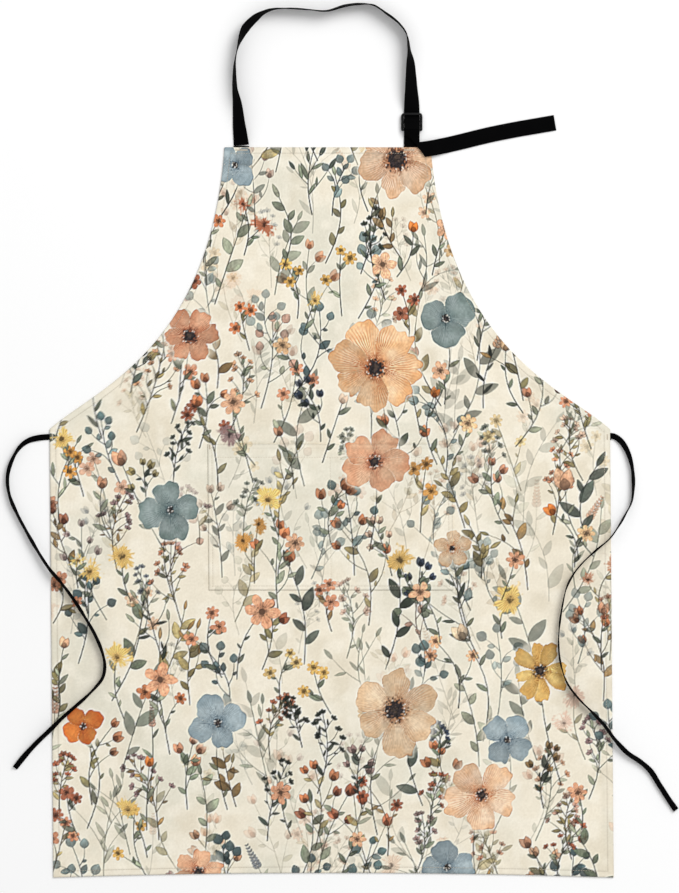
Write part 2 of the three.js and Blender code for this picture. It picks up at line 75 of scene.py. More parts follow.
# ---------------------------------------------------------------- sizes in millimetres, as the frame has
SKIRT_HALF_WIDTH = 330
BIB_HALF_WIDTH = 121.3
BIB_TOP = 430
SKIRT_TOP = 98
SKIRT_BOTTOM = -430
BOTTOM_EDGE_RISE = 5.5
LEAN = -0.0082
LEAN_LEVEL = (SKIRT_TOP + SKIRT_BOTTOM) / 2
ARMHOLE_BIB_PULL = (139.3, 190.4)
ARMHOLE_SKIRT_PULL = (278, 144.8)
HEM_WIDTH = 8
STITCH_INSET = 7
POCKET_HALF_WIDTH = 144
POCKET_TOP = 80.5
POCKET_BOTTOM = -91.5
MOUTH_HEM = 18
WEBBING_WIDTH = 18.4
WEBBING_THICKNESS = 1.2
STRAP_LEFT_X = -106.3
STRAP_RIGHT_X = 94.3
BUCKLE_Y = 459.8
BUCKLE_WIDTH = 25.2
BUCKLE_LENGTH = 21.6
BUCKLE_THICKNESS = 2.4
BUCKLE_LEVEL = 2.9
PIVOT_BAR_Y = 450.6
TIE_WIDTH = 7
TIE_THICKNESS = 1
TIE_Y = 88.8

# Routes of the tapes: x, y, height of what lies under the tape, and roll in degrees.
# They are the routes of part.mjs, except that each tie begins about 8 mm earlier, under the cloth's
# edge, and the right tie passes up to 1.2 mm beside its route there and stands at its own rolls.
ON_FLOOR = 0.2
ON_CLOTH = 3.5
NECK_STRAP_ROUTE = [
    (-106.3, 432.4, ON_FLOOR, 12),
    (-107.5, 444, ON_FLOOR, 25),
    (-109, 457, ON_FLOOR, 38),
    (-111.2, 482, ON_FLOOR, 55),
    (-113.8, 498, ON_FLOOR, 73),
    (-114.4, 517, ON_FLOOR, 78),
    (-113.8, 530, ON_FLOOR, 84),
    (-111, 545, ON_FLOOR, 90),
    (-108, 555.5, ON_FLOOR, 100),
    (-101.5, 569.5, ON_FLOOR, 118),
    (-89, 582.3, ON_FLOOR, 112),
    (-80.3, 588, ON_FLOOR, 99),
    (-69, 592, ON_FLOOR, 89),
    (-49.5, 593, ON_FLOOR, 83),
    (-26.7, 591.5, ON_FLOOR, 84),
    (-6, 590, ON_FLOOR, 82),
    (15.5, 596, ON_FLOOR, 78),
    (30, 598, ON_FLOOR, 78),
    (48.5, 597, ON_FLOOR, 88),
    (64, 587.3, ON_FLOOR, 90),
    (79.3, 575.3, ON_FLOOR, 90),
    (88, 563, ON_FLOOR, 89),
    (91.2, 543.5, ON_FLOOR, 78),
    (92.7, 529.5, ON_FLOOR, 60),
    (93.6, 500, ON_FLOOR, 38),
    (94.2, 481, ON_FLOOR, 16),
    (94.3, 471.2, ON_FLOOR, 0),
]
STRAP_TAIL_ROUTE = [
    (105.4, 427.1, ON_CLOTH, 0),
    (112, 428, ON_CLOTH, 0),
    (120, 429.3, ON_CLOTH, 0),
    (129, 431.2, 1.6, 0),
    (139, 433.4, ON_FLOOR, 0),
    (152, 436.5, ON_FLOOR, 0),
    (171, 441.2, ON_FLOOR, 0),
    (188, 445.2, ON_FLOOR, 0),
    (216, 450.8, ON_FLOOR, 0),
    (240, 455, ON_FLOOR, 0),
    (263, 459, ON_FLOOR, 0),
]
LEFT_TIE_ROUTE = [
    (-326.5, TIE_Y, ON_FLOOR, 0),
    (-334, TIE_Y, ON_FLOOR, 0),
    (-345, 87.8, ON_FLOOR, 12),
    (-356, 85, ON_FLOOR, 30),
    (-364.5, 79.5, ON_FLOOR, 40),
    (-372, 70, ON_FLOOR, 45),
    (-379.5, 53, ON_FLOOR, 45),
    (-381.8, 37, ON_FLOOR, 45),
    (-379, 19, ON_FLOOR, 48),
    (-370.7, -1, ON_FLOOR, 50),
    (-358.5, -24, 0.6, 50),
    (-346, -45.5, 1.8, 50),
    (-332.5, -66, ON_CLOTH, 50),
    (-317.7, -83.5, ON_CLOTH, 50),
    (-304, -102, ON_CLOTH, 50),
    (-290.5, -123, ON_CLOTH, 52),
    (-277.5, -146, ON_CLOTH, 55),
    (-269.2, -167, ON_CLOTH, 60),
    (-267, -182, ON_CLOTH, 64),
    (-269.5, -194.5, ON_CLOTH, 60),
    (-278, -206, ON_CLOTH, 52),
    (-290.5, -218.5, ON_CLOTH, 48),
    (-304, -230.3, ON_CLOTH, 45),
    (-317.7, -242.5, ON_CLOTH, 42),
    (-332.5, -257, ON_CLOTH, 40),
    (-346, -269.8, 1.6, 36),
    (-361, -286, ON_FLOOR, 30),
    (-373, -301, ON_FLOOR, 24),
]
RIGHT_TIE_ROUTE = [
    (324.3, TIE_Y + 1, ON_FLOOR, 0),
    (331.8, TIE_Y + 0.9, ON_FLOOR, 0),
    (339.5, 85, ON_FLOOR, 18),
    (347, 74.5, ON_FLOOR, 30),
    (352.8, 58, ON_FLOOR, 40),
    (355, 42, ON_FLOOR, 43.5),
    (355, 27, ON_FLOOR, 46),
    (353, 12, 0.6, 51),
    (346, -2, 1.6, 60),
    (336.5, -18, ON_CLOTH, 60),
    (327, -31, ON_CLOTH, 60),
    (313, -43, ON_CLOTH, 60),
    (297, -57.5, ON_CLOTH, 60),
    (285, -72, ON_CLOTH, 60),
    (276.5, -88.5, ON_CLOTH, 60),
    (271.5, -110, ON_CLOTH, 63),
    (268, -134, ON_CLOTH, 65),
    (267, -156, ON_CLOTH, 65),
    (269.5, -178, ON_CLOTH, 62),
    (277, -200.5, ON_CLOTH, 58),
    (291, -219.5, ON_CLOTH, 54),
    (306, -234.5, ON_CLOTH, 50),
    (320.5, -250, ON_CLOTH, 45),
    (333, -267, ON_CLOTH, 42),
    (348, -283, 1.4, 38),
    (364, -294, ON_FLOOR, 34),
    (375, -304, ON_FLOOR, 30),
    (386, -321, ON_FLOOR, 26),
    (397.5, -339, ON_FLOOR, 22),
    (405.5, -350.5, ON_FLOOR, 20),
]

# ---------------------------------------------------------------- camera, straight above, with a long lens
VIEW_CENTRE = (0.0092, 0.0776)
VIEW_LENGTH = 1.052
LENS = 200
SENSOR = 36


def add_camera():
    data = bpy.data.cameras.new("camera")
    data.lens = LENS
    data.sensor_width = SENSOR
    camera = bpy.data.objects.new("camera", data)
    camera.location = (*VIEW_CENTRE, VIEW_LENGTH * LENS / SENSOR)
    bpy.context.collection.objects.link(camera)
    bpy.context.scene.camera = camera


add_camera()


# ---------------------------------------------------------------- meshes
def build(name, points, quads, triangles=()):
    """A smooth mesh object from points in millimetres, four-sided faces and three-sided faces."""
    quads = np.asarray(quads, dtype=np.int32).reshape(-1, 4)
    triangles = np.asarray(triangles, dtype=np.int32).reshape(-1, 3)
    corners = np.concatenate([quads.ravel(), triangles.ravel()])
    three_sided = 4 * len(quads) + 3 * np.arange(len(triangles))
    starts = np.concatenate([4 * np.arange(len(quads)), three_sided]).astype(np.int32)
    mesh = bpy.data.meshes.new(name)
    mesh.vertices.add(len(points))
    mesh.vertices.foreach_set("co", (np.asarray(points) * MM).astype(np.float32).ravel())
    mesh.loops.add(len(corners))
    mesh.loops.foreach_set("vertex_index", corners)
    mesh.polygons.add(len(starts))
    mesh.polygons.foreach_set("loop_start", starts)
    mesh.polygons.foreach_set("use_smooth", np.ones(len(starts), dtype=bool))
    mesh.update(calc_edges=True)
    mesh.validate()
    piece = bpy.data.objects.new(name, mesh)
    bpy.context.collection.objects.link(piece)
    return piece


def mark(piece, name, values, kind="FLOAT_VECTOR"):
    """Stores a value for each vertex, which the materials read by name."""
    attribute = piece.data.attributes.new(name, kind, "POINT")
    field = "vector" if kind == "FLOAT_VECTOR" else "color"
    attribute.data.foreach_set(field, np.asarray(values, dtype=np.float32).ravel())


def grid_faces(rows, columns, first=0, flip=False):
    """Faces of a grid of vertices stored row after row."""
    corner = first + (np.arange(rows - 1)[:, None] * columns + np.arange(columns - 1)).ravel()
    faces = np.stack([corner, corner + 1, corner + columns + 1, corner + columns], axis=1)
    return faces[:, ::-1] if flip else faces


# ---------------------------------------------------------------- tapes
class TapePath:
    """A smooth line through a route, with the direction across the tape and out of its face at each place."""

    SAMPLES = 30

    def __init__(self, centres, rolls):
        centres = np.asarray(centres, dtype=float)
        rolls = np.radians(rolls)
        line, turn = self.smooth(centres, rolls)
        steps = np.linalg.norm(np.diff(line, axis=0), axis=1)
        self.places = np.concatenate([[0], np.cumsum(steps)])
        self.length = self.places[-1]
        self.line = line
        tangent = np.gradient(line, self.places, axis=0)
        tangent /= np.linalg.norm(tangent, axis=1)[:, None]
        side = np.stack([tangent[:, 1], -tangent[:, 0], np.zeros(len(line))], axis=1)
        side /= np.linalg.norm(side, axis=1)[:, None]
        up = np.cross(side, tangent)
        self.across = side * np.cos(turn)[:, None] + up * np.sin(turn)[:, None]
        self.out = np.cross(self.across, tangent)

    @classmethod
    def smooth(cls, points, rolls):
        """Centripetal Catmull-Rom curve through the points."""
        ends = [2 * points[:1] - points[1:2], points, 2 * points[-1:] - points[-2:-1]]
        knots = np.concatenate(ends)
        t = np.linspace(0, 1, cls.SAMPLES, endpoint=False)[:, None]
        line = []
        for i in range(1, len(knots) - 2):
            p0, p1, p2, p3 = knots[i - 1 : i + 3]
            d0, d1, d2 = (math.sqrt(np.linalg.norm(b - a)) for a, b in ((p0, p1), (p1, p2), (p2, p3)))
            leave = ((p1 - p0) / d0 - (p2 - p0) / (d0 + d1) + (p2 - p1) / d1) * d1
            reach = ((p2 - p1) / d1 - (p3 - p1) / (d1 + d2) + (p3 - p2) / d2) * d1
            cubic = 2 * p1 - 2 * p2 + leave + reach
            square = -3 * p1 + 3 * p2 - 2 * leave - reach
            line.append(cubic * t**3 + square * t**2 + leave * t + p1)
        line = np.concatenate(line + [knots[-2:-1]])
        turn = np.interp(np.arange(len(line)) / cls.SAMPLES, np.arange(len(rolls)), rolls)
        return line, turn

    def at(self, s):
        """Centre, across and out vectors at distances s, straight on past either end."""
        inside = np.clip(s, 0, self.length)
        centre, across, out = (
            np.stack([np.interp(inside, self.places, values[:, k]) for k in range(3)], axis=-1)
            for values in (self.line, self.across, self.out)
        )
        onward = np.cross(out, across)
        return centre + onward * (s - inside)[..., None], across, out


def resting_path(route, width, thickness):
    """The path of a tape that rests on what is under it, on its face or on its lower edge."""
    centres = []
    for x, y, ground, roll in route:
        angle = math.radians(roll)
        rise = abs(math.sin(angle)) * width + abs(math.cos(angle)) * thickness
        centres.append((x, y, ground + rise / 2))
    return TapePath(centres, [point[3] for point in route])


def tape_section(width, thickness, edge_steps=4, face_steps=8):
    """Outline of a woven tape: flat faces, round selvedges that are a little fuller than the middle."""
    half = width / 2
    radius = thickness / 2
    round_end = np.linspace(-math.pi / 2, math.pi / 2, edge_steps * 2 + 1)
    right = np.stack([half - radius + radius * np.cos(round_end), radius * np.sin(round_end)], axis=1)
    face = np.linspace(half - radius, -half + radius, face_steps + 1)[1:-1]
    dip = 1 - 0.1 * np.sin(math.pi * (face / half * 0.5 + 0.5))
    top = np.stack([face, radius * dip], axis=1)
    return np.concatenate([right, top, -right, -top])


def tape(name, path, width, thickness, start=None, end=None, spacing=1.2, wave=0.0):
    """A solid tape along a path. start and end give where each edge of it begins, by place across it."""
    section = tape_section(width, thickness)
    a, b = section[:, 0], section[:, 1]
    first = np.zeros(len(a)) if start is None else start(a)
    last = np.full(len(a), path.length) if end is None else end(a)
    rings = max(int(np.max(last - first) / spacing), 4) + 1
    t = np.linspace(0, 1, rings)[:, None]
    s = first + t * (last - first)
    centre, across, out = path.at(s)
    ripple = wave * (np.sin(s / 7.3 + 1.1) + 0.6 * np.sin(s / 3.9)) * (a / width)
    points = centre + across * a[:, None] + out * (b + ripple)[..., None]
    points[..., 2] = np.maximum(points[..., 2], ON_FLOOR / 2)
    count = len(a)
    around = np.concatenate([np.arange(count), [0]])
    lower, upper = around[:-1], around[1:]
    ring = np.arange(rings - 1)[:, None] * count
    quads = np.stack([ring + lower, ring + upper, ring + count + upper, ring + count + lower], axis=-1)
    everything = np.concatenate([points.reshape(-1, 3), points[:1].mean(axis=1), points[-1:].mean(axis=1)])
    hub = rings * count
    far = (rings - 1) * count
    caps = [np.stack([np.full(count, hub), upper, lower], axis=1)]
    caps.append(np.stack([np.full(count, hub + 1), far + lower, far + upper], axis=1))
    piece = build(name, everything, quads.reshape(-1, 4), np.concatenate(caps))
    lay = np.stack([s, np.broadcast_to(a, s.shape), np.zeros(s.shape)], axis=-1).reshape(-1, 3)
    mark(piece, "lay", np.concatenate([lay, lay[:1], lay[-1:]]) * MM)
    return piece


# ---------------------------------------------------------------- cloth outline and relief
def armhole_line():
    """Half widths and heights down the armhole, from the bib to the skirt."""
    t = np.linspace(0, 1, 400)[:, None]
    bib_corner = (BIB_HALF_WIDTH, BIB_TOP)
    skirt_corner = (SKIRT_HALF_WIDTH, SKIRT_TOP)
    corners = np.array([bib_corner, ARMHOLE_BIB_PULL, ARMHOLE_SKIRT_PULL, skirt_corner])
    weights = np.hstack([(1 - t) ** 3, 3 * t * (1 - t) ** 2, 3 * t**2 * (1 - t), t**3])
    return weights @ corners


ARMHOLE = armhole_line()


def half_width(y):
    return np.interp(y, ARMHOLE[::-1, 1], ARMHOLE[::-1, 0])


def lean(y):
    return LEAN * (y - LEAN_LEVEL)


def bottom_edge(x):
    across = np.clip((x - lean(SKIRT_BOTTOM)) / SKIRT_HALF_WIDTH, -1, 1)
    return SKIRT_BOTTOM + BOTTOM_EDGE_RISE * (1 - across**2)


def edge_distance(x, y):
    """Distance in from the nearest edge of the cloth."""
    slope = (half_width(y - 1) - half_width(y + 1)) / 2
    side = (half_width(y) - np.abs(x - lean(y))) / np.sqrt(1 + slope**2)
    return np.minimum(np.minimum(side, BIB_TOP - y), y - bottom_edge(x))


def smoothstep(low, high, value):
    t = np.clip((value - low) / (high - low), 0, 1)
    return t * t * (3 - 2 * t)


def over_tapes(x, y):
    """How far a place is over one of the tapes sewn behind the cloth, from 0 to 1."""
    amount = 0
    half = WEBBING_WIDTH / 2
    for strap_x in (STRAP_LEFT_X, STRAP_RIGHT_X):
        inside = np.minimum(half - np.abs(x - strap_x), y - (BIB_TOP - 18))
        amount = amount + smoothstep(-4, 0, inside)
    inside = np.minimum(TIE_WIDTH / 2 - np.abs(y - TIE_Y), np.abs(x - lean(y)) - (SKIRT_HALF_WIDTH - 16))
    return np.clip(amount + smoothstep(-3, 0, inside), 0, 1)


def relief(x, y):
    """Height of the printed face above the floor."""
    inset = edge_distance(x, y)
    hem = 1 - smoothstep(HEM_WIDTH - 0.5, HEM_WIDTH + 7, inset)
    swell = 0.34 * np.sin(x / 31 + y / 57 + 0.6) + 0.26 * np.sin(x / 47 - y / 33 + 2.1)
    swell += 0.20 * np.sin(x / 19 + y / 71 + 4.0) + 0.16 * np.sin(y / 21 - x / 83)
    run = x * 0.8 + y * 1.1
    pucker = 0.12 * np.sin(run / 4.1) * np.exp(-(((inset - 10) / 9) ** 2))
    groove = -0.16 * np.exp(-(((inset - STITCH_INSET) / 0.9) ** 2))
    rounding = -0.35 * np.exp(-np.clip(inset, 0, None) / 0.5)
    height = 1.35 + 0.55 * hem + swell * (1 - hem) + pucker
    height += (1.95 - height) * over_tapes(x, y)
    return height + groove + rounding


POCKET_STITCH_INSET = 4.8
MOUTH_STITCH_Y = POCKET_TOP - MOUTH_HEM + 2.4
POCKET_DIVIDER = 6
POCKET_SEAM = 9
POCKET_RISE = 0.55
POCKET_PUFF = 2.3


def pocket_relief(x, y):
    """Height of the pocket's printed face: it lies on the panel and stands a little open at the mouth."""
    near = np.abs(x - lean(y))
    inner = smoothstep(POCKET_DIVIDER - 4, POCKET_DIVIDER + 40, near)
    outer = smoothstep(POCKET_SEAM - 5, POCKET_SEAM + 34, POCKET_HALF_WIDTH - near)
    floor = smoothstep(POCKET_SEAM - 5, POCKET_SEAM + 90, y - POCKET_BOTTOM)
    mouth = 0.35 + 0.65 * smoothstep(20, 160, y - POCKET_BOTTOM)
    puff = POCKET_PUFF * inner * outer * floor * mouth
    to_seam = np.minimum(POCKET_HALF_WIDTH - near, y - POCKET_BOTTOM)
    groove = -0.22 * np.exp(-(((to_seam - POCKET_STITCH_INSET) / 1.0) ** 2))
    groove += -0.3 * np.exp(-((near / 1.3) ** 2)) - 0.18 * np.exp(-(((y - MOUTH_STITCH_Y) / 1.0) ** 2))
    rim = 0.28 * (1 - smoothstep(5, 11, to_seam))
    pucker = 0.10 * np.sin((x + y) / 3.7) * np.exp(-(((to_seam - 9) / 7) ** 2))
    return relief(x, y) + POCKET_RISE + puff + groove + rim + pucker


# ---------------------------------------------------------------- the print's canvas
CELL = 0.75
CANVAS_LEFT = -352
CANVAS_BOTTOM = -442
CANVAS_COLUMNS = 940
CANVAS_ROWS = 1180
rng = np.random.default_rng(23)


def cloud(scale, seed):
    """Smooth noise from 0 to 1 over the canvas, with features of the given size."""

    def blend_weights(cells):
        places = np.arange(cells) * CELL / scale
        left = places.astype(int)
        share = places - left
        share = share * share * (3 - 2 * share)
        weights = np.zeros((cells, left[-1] + 2), dtype=np.float32)
        weights[np.arange(cells), left] = 1 - share
        weights[np.arange(cells), left + 1] = share
        return weights

    down = blend_weights(CANVAS_ROWS)
    over = blend_weights(CANVAS_COLUMNS)
    lattice = np.random.default_rng(seed).random((down.shape[1], over.shape[1]), dtype=np.float32)
    return down @ lattice @ over.T


FINE = cloud(2.2, 1) - 0.5
MEDIUM = cloud(9, 2) - 0.5
GRAIN = cloud(1.0, 4) - 0.5


def tone(red, green, blue):
    return np.array([red, green, blue], dtype=np.float32) / 255


def ground():
    """The cream ground, mottled as a watercolour wash."""
    base = np.empty((CANVAS_ROWS, CANVAS_COLUMNS, 3), dtype=np.float32)
    base[:] = tone(238, 229, 209)
    patches = [
        (26, 5, tone(226, 216, 194), 0.75),
        (70, 6, tone(222, 220, 204), 0.6),
        (15, 7, tone(244, 237, 220), 0.6),
    ]
    for scale, seed, colour, strength in patches:
        amount = strength * smoothstep(0.45, 0.9, cloud(scale, seed) + 0.18 * MEDIUM)
        base += amount[..., None] * (colour - base)
    base += (0.022 * FINE + 0.018 * GRAIN + 0.02 * MEDIUM)[..., None]
    return base


canvas = ground()


def window(x, y, reach):
    """The part of the canvas within reach of a point, and its cells' places from that point."""
    left = max(int((x - reach - CANVAS_LEFT) / CELL), 0)
    right = min(int((x + reach - CANVAS_LEFT) / CELL) + 2, CANVAS_COLUMNS)
    low = max(int((y - reach - CANVAS_BOTTOM) / CELL), 0)
    high = min(int((y + reach - CANVAS_BOTTOM) / CELL) + 2, CANVAS_ROWS)
    if right <= left or high <= low:
        return None, None, None
    dx = np.arange(left, right, dtype=np.float32) * CELL + (CANVAS_LEFT - x)
    dy = np.arange(low, high, dtype=np.float32) * CELL + (CANVAS_BOTTOM - y)
    return (slice(low, high), slice(left, right)), dx[None, :], dy[:, None]


def glaze(region, colour, amount):
    """Lays a colour over a part of the canvas."""
    canvas[region] += amount[..., None] * (colour - canvas[region])


def disc(x, y, radius, colour, strength=1.0):
    region, dx, dy = window(x, y, radius + CELL)
    if region:
        cover = np.clip((radius - np.hypot(dx, dy)) / CELL + 0.5, 0, 1)
        glaze(region, colour, strength * cover)


def stroke(points, width, colour, strength=0.9):
    """A line through points, thinning towards its end."""
    points = np.asarray(points, dtype=np.float32)
    middle = (points.max(axis=0) + points.min(axis=0)) / 2
    reach = float((points.max(axis=0) - points.min(axis=0)).max()) / 2 + width + CELL
    region, dx, dy = window(*middle, reach)
    if not region:
        return
    cover = np.zeros((dy.shape[0], dx.shape[1]), dtype=np.float32)
    local = points - middle
    count = len(local) - 1
    for i in range(count):
        (ax, ay), (bx, by) = local[i], local[i + 1]
        ux, uy = bx - ax, by - ay
        along = np.clip(((dx - ax) * ux + (dy - ay) * uy) / (ux * ux + uy * uy + 1e-6), 0, 1)
        away = np.hypot(dx - ax - along * ux, dy - ay - along * uy)
        half = width * (1 - 0.45 * (i + 0.5) / count) / 2
        np.maximum(cover, np.clip((half - away) / CELL + 0.5, 0, 1) * min(1, half * 2.4 / CELL), out=cover)
    glaze(region, colour, strength * cover)


def bow(x0, y0, x1, y1, bend, steps=9):
    """Points of a line bent sideways, as a stem is."""
    t = np.linspace(0, 1, steps)
    side = bend * np.sin(math.pi * t)
    dx, dy = x1 - x0, y1 - y0
    return np.stack([x0 + t * dx - side * dy, y0 + t * dy + side * dx], axis=1)


def leaf(x, y, turn, length, width, colour, strength=0.9):
    """A leaf or small petal from its stalk end: deeper at the stalk, with a dark wet rim."""
    c, s = math.cos(turn), math.sin(turn)
    region, dx, dy = window(x + c * length / 2, y + s * length / 2, length * 0.6 + 1)
    if not region:
        return
    along = (dx * c + dy * s) / length + 0.5
    across = dy * c - dx * s
    half = width / 2 * np.clip(np.sin(math.pi * np.clip(along, 0, 1) ** 0.85), 0, 1) ** 0.75
    inside = half - np.abs(across + 0.08 * width * MEDIUM[region])
    cover = np.clip(inside / CELL + 0.45, 0, 1) * (along > 0) * (along < 1)
    rim = np.exp(-((inside / 0.8) ** 2))
    shade = 0.80 + 0.30 * along + 0.5 * MEDIUM[region] + 0.25 * FINE[region] - 0.44 * rim
    shade += 0.10 * np.exp(-((across / 0.45) ** 2)) * (length > 10)
    glaze(region, colour * shade[..., None], strength * cover * np.clip(0.92 + 0.4 * MEDIUM[region], 0, 1))


def blossom(x, y, turn, size, colour, strength=0.9):
    """A small open flower drawn in one wash, with notches between its petals and a dotted heart."""
    region, dx, dy = window(x, y, size * 1.2)
    if not region:
        return
    petals = 5 + int(size) % 3
    away = np.hypot(dx, dy)
    angle = np.arctan2(dy, dx) - turn
    lobe = np.abs(np.cos(angle * petals / 2)) ** 0.55
    edge = size * (0.42 + 0.58 * lobe) * (1 + 0.4 * MEDIUM[region])
    cover = np.clip((edge - away) / CELL + 0.5, 0, 1)
    rim = np.exp(-(((edge - away) / 0.8) ** 2))
    veins = 0.09 * np.sin(angle * petals * 5 + 14 * MEDIUM[region]) * (away < 0.8 * size)
    depth = 1.08 - 0.28 * np.exp(-((away / (0.45 * size)) ** 2)) - 0.20 * rim + veins + 0.3 * FINE[region]
    glaze(region, colour * (depth - 0.18 * (1 - smoothstep(0.1, 0.5, lobe)))[..., None], strength * cover)
    disc(x, y, size * 0.2, colour * 0.42, strength)
    for k in range(petals * 2):
        far = size * (0.26 + 0.08 * (k % 2))
        disc(x + far * math.cos(2.4 * k), y + far * math.sin(2.4 * k), 0.55, colour * 0.4, strength)


def daisy(x, y, turn, size, colour, strength=0.9):
    """A soft flower of many thin petals that run into the wet ground."""
    region, dx, dy = window(x, y, size * 1.5)
    if not region:
        return
    away = np.hypot(dx, dy) / size
    angle = np.arctan2(dy, dx) + turn
    ray = 0.5 + 0.5 * np.sin(angle * 11 + 7 * MEDIUM[region]) * np.sin(angle * 5 + turn)
    ragged = away + 0.5 * ray + 1.1 * MEDIUM[region] + 0.5 * FINE[region]
    hair = np.sin(angle * 31 + 9 * MEDIUM[region])
    shade = 1.06 - 0.14 * hair - 0.45 * np.exp(-((away / 0.33) ** 2))
    glaze(region, colour * shade[..., None], strength * smoothstep(1.45, 0.85, ragged))
    glaze(region, colour * 0.42, 0.9 * strength * smoothstep(0.26, 0.1, away + 0.4 * FINE[region]))


def bud(x, y, turn, size, colour, strength=0.9):
    leaf(x, y, turn + 0.28, size, size * 0.62, colour, strength)
    leaf(x, y, turn - 0.28, size * 0.92, size * 0.58, colour * 0.9, strength)
    leaf(x, y, turn, size * 0.5, size * 0.46, colour * 0.55, strength)


def cluster(x, y, turn, size, colour, strength=0.9):
    for aim in (-0.95, 0, 0.95):
        leaf(x, y, turn + aim, size, size * 0.72, colour, strength)
    disc(x, y, size * 0.18, colour * 0.45, strength)


def coin(x, y, turn, size, colour, strength=0.9):
    leaf(x, y, turn, size, size * 0.9, colour, strength)


def blade(x, y, turn, size, colour, strength=0.9):
    leaf(x, y, turn, size, size * 0.34, colour, strength)


def spike(x, y, turn, size, colour, strength=0.9):
    """A flower spike: small petals in pairs, smaller towards the top."""
    for k in range(8):
        share = k / 8
        px, py = x + size * share * math.cos(turn) * 2.2, y + size * share * math.sin(turn) * 2.2
        for side in (-1, 1):
            petal = size * 0.5 * (1 - 0.6 * share)
            leaf(px, py, turn + side * 0.8, petal, petal * 0.6, colour * rng.uniform(0.8, 1.15), strength)


def halo(x, y, radius, strength=0.5):
    region, dx, dy = window(x, y, radius * 1.2)
    if region:
        fading = smoothstep(radius * 1.15, radius * 0.95, np.hypot(dx, dy))
        glaze(region, tone(238, 231, 214), strength * fading)


def broad_petal(x, y, length, half_angle, turn, tones, veins, seed):
    """One broad petal of a large flower: ruffled edge, radiating veins, wet rim and deep base."""
    light, mid, deep = tones
    region, dx, dy = window(x, y, length * 1.15)
    if not region:
        return
    blot = MEDIUM[region]
    away = np.hypot(dx, dy) / length
    angle = (np.arctan2(dy, dx) - turn + math.pi) % (2 * math.pi) - math.pi
    share = angle / half_angle
    dome = np.clip(1 - np.abs(share) ** 2.4, 0, 1) ** 0.38
    ruffle = 1 + 0.03 * np.sin(share * 7 + seed) + 0.02 * np.sin(share * 15 + 2 * seed) + 0.14 * blot
    depth = (dome * ruffle - away) * length
    within = np.abs(share) < 1
    cover = np.clip(depth / CELL + 0.4, 0, 1) * within
    pale = np.clip(1 - np.abs(depth + 1.2) / 1.6, 0, 1) * (np.abs(share) < 1.05)
    glaze(region, tone(244, 236, 218), 0.5 * pale)
    phase = share * (4.5 + 6 * half_angle) + seed + 0.9 * blot * away
    line = np.exp(-(((phase % 1 - 0.5) / 0.17) ** 2)) * (0.55 + 0.45 * np.sin(np.floor(phase) * 12.9 + seed))
    hair = np.sin(angle * 95 + seed * 5 + 22 * blot * away) * 0.5 + 0.5
    reach = smoothstep(1.02, 0.18, away)
    wash = np.clip(0.45 * smoothstep(0.6, 1.0, away) + 1.1 * blot + 0.25, 0, 1)
    colour = light + (mid - light) * wash[..., None]
    colour = colour * (1 + 0.04 * np.cos(share * 3.1) - 0.10 * hair * (0.4 + 0.6 * reach) * veins)[..., None]
    base = 0.6 * smoothstep(0.45, 0.08, away) * (0.4 + 0.6 * hair)
    ink = np.clip(1.15 * line * reach**0.7 * veins + base, 0, 0.92)
    colour = colour + (deep - colour) * ink[..., None]
    rim = np.exp(-((depth / 0.75) ** 2)) * np.clip(0.7 + 2.0 * blot, 0.25, 1)
    colour = colour + (deep * 0.85 - colour) * (0.7 * rim)[..., None]
    glaze(region, colour * (1 + 0.12 * FINE[region])[..., None], 0.95 * cover)


def big_flower(x, y, radius, petals, half_angle, tones, heart_share, veins, turn):
    """A large open flower with a dark heart ringed by stamens."""
    halo(x, y, radius)
    draws = np.random.default_rng(int(abs(x * 7 + y * 13)) + petals)
    for k in list(range(0, petals, 2)) + list(range(1, petals, 2)):
        aim = turn + 2 * math.pi * k / petals + draws.uniform(-0.12, 0.12)
        wash = draws.uniform(0.88, 1.07)
        shades = [wash * tones[0], wash * tones[1], tones[2]]
        half = half_angle * draws.uniform(0.9, 1.15)
        broad_petal(x, y, radius * draws.uniform(0.86, 1.07), half, aim, shades, veins, draws.uniform(0, 6))
    core = radius * heart_share
    region, dx, dy = window(x, y, core * 2.4)
    if region:
        away = np.hypot(dx, dy) / core + 0.7 * FINE[region]
        glaze(region, tones[2] * 0.55, 0.6 * smoothstep(1.9, 0.7, away))
        glaze(region, HEART * (0.85 + 1.2 * GRAIN[region])[..., None], 0.95 * smoothstep(1.1, 0.8, away))
        glaze(region, tone(96, 78, 64), 0.6 * smoothstep(0.5, 0.1, away))
    for k in range(int(4 + 0.9 * radius)):
        spot = draws.uniform(0, 2 * math.pi)
        far = core * draws.uniform(0.85, 1.5)
        colour = tone(244, 234, 214) if k % 3 == 0 else HEART * 0.8
        disc(x + far * math.cos(spot), y + far * math.sin(spot), draws.uniform(0.5, 0.95), colour, 0.9)


# Colours of the print
HEART = tone(44, 38, 40)
GREENS = [tone(118, 128, 106), tone(98, 108, 88), tone(136, 144, 120), tone(88, 96, 80), tone(150, 154, 130)]
OLIVES = [tone(146, 130, 84), tone(164, 148, 100), tone(122, 114, 76), tone(142, 112, 70)]
DARKS = [tone(48, 58, 48), tone(38, 46, 38), tone(62, 72, 64)]
NAVIES = [tone(50, 60, 76), tone(66, 80, 94), tone(84, 98, 108)]
WARMS = [tone(172, 100, 70), tone(204, 138, 104), tone(214, 160, 122), tone(150, 84, 58), tone(196, 120, 78)]
DUSTY = [tone(172, 142, 134), tone(150, 122, 120), tone(206, 174, 150), tone(190, 150, 130)]
TEALS = [tone(74, 94, 94), tone(92, 110, 110), tone(112, 128, 126), tone(60, 76, 78)]
GOLDS = [tone(214, 168, 92), tone(200, 142, 72), tone(222, 186, 118)]
PEACH = (tone(238, 208, 178), tone(222, 178, 138), tone(168, 88, 48))
APRICOT = (tone(238, 202, 162), tone(222, 168, 116), tone(172, 80, 36))
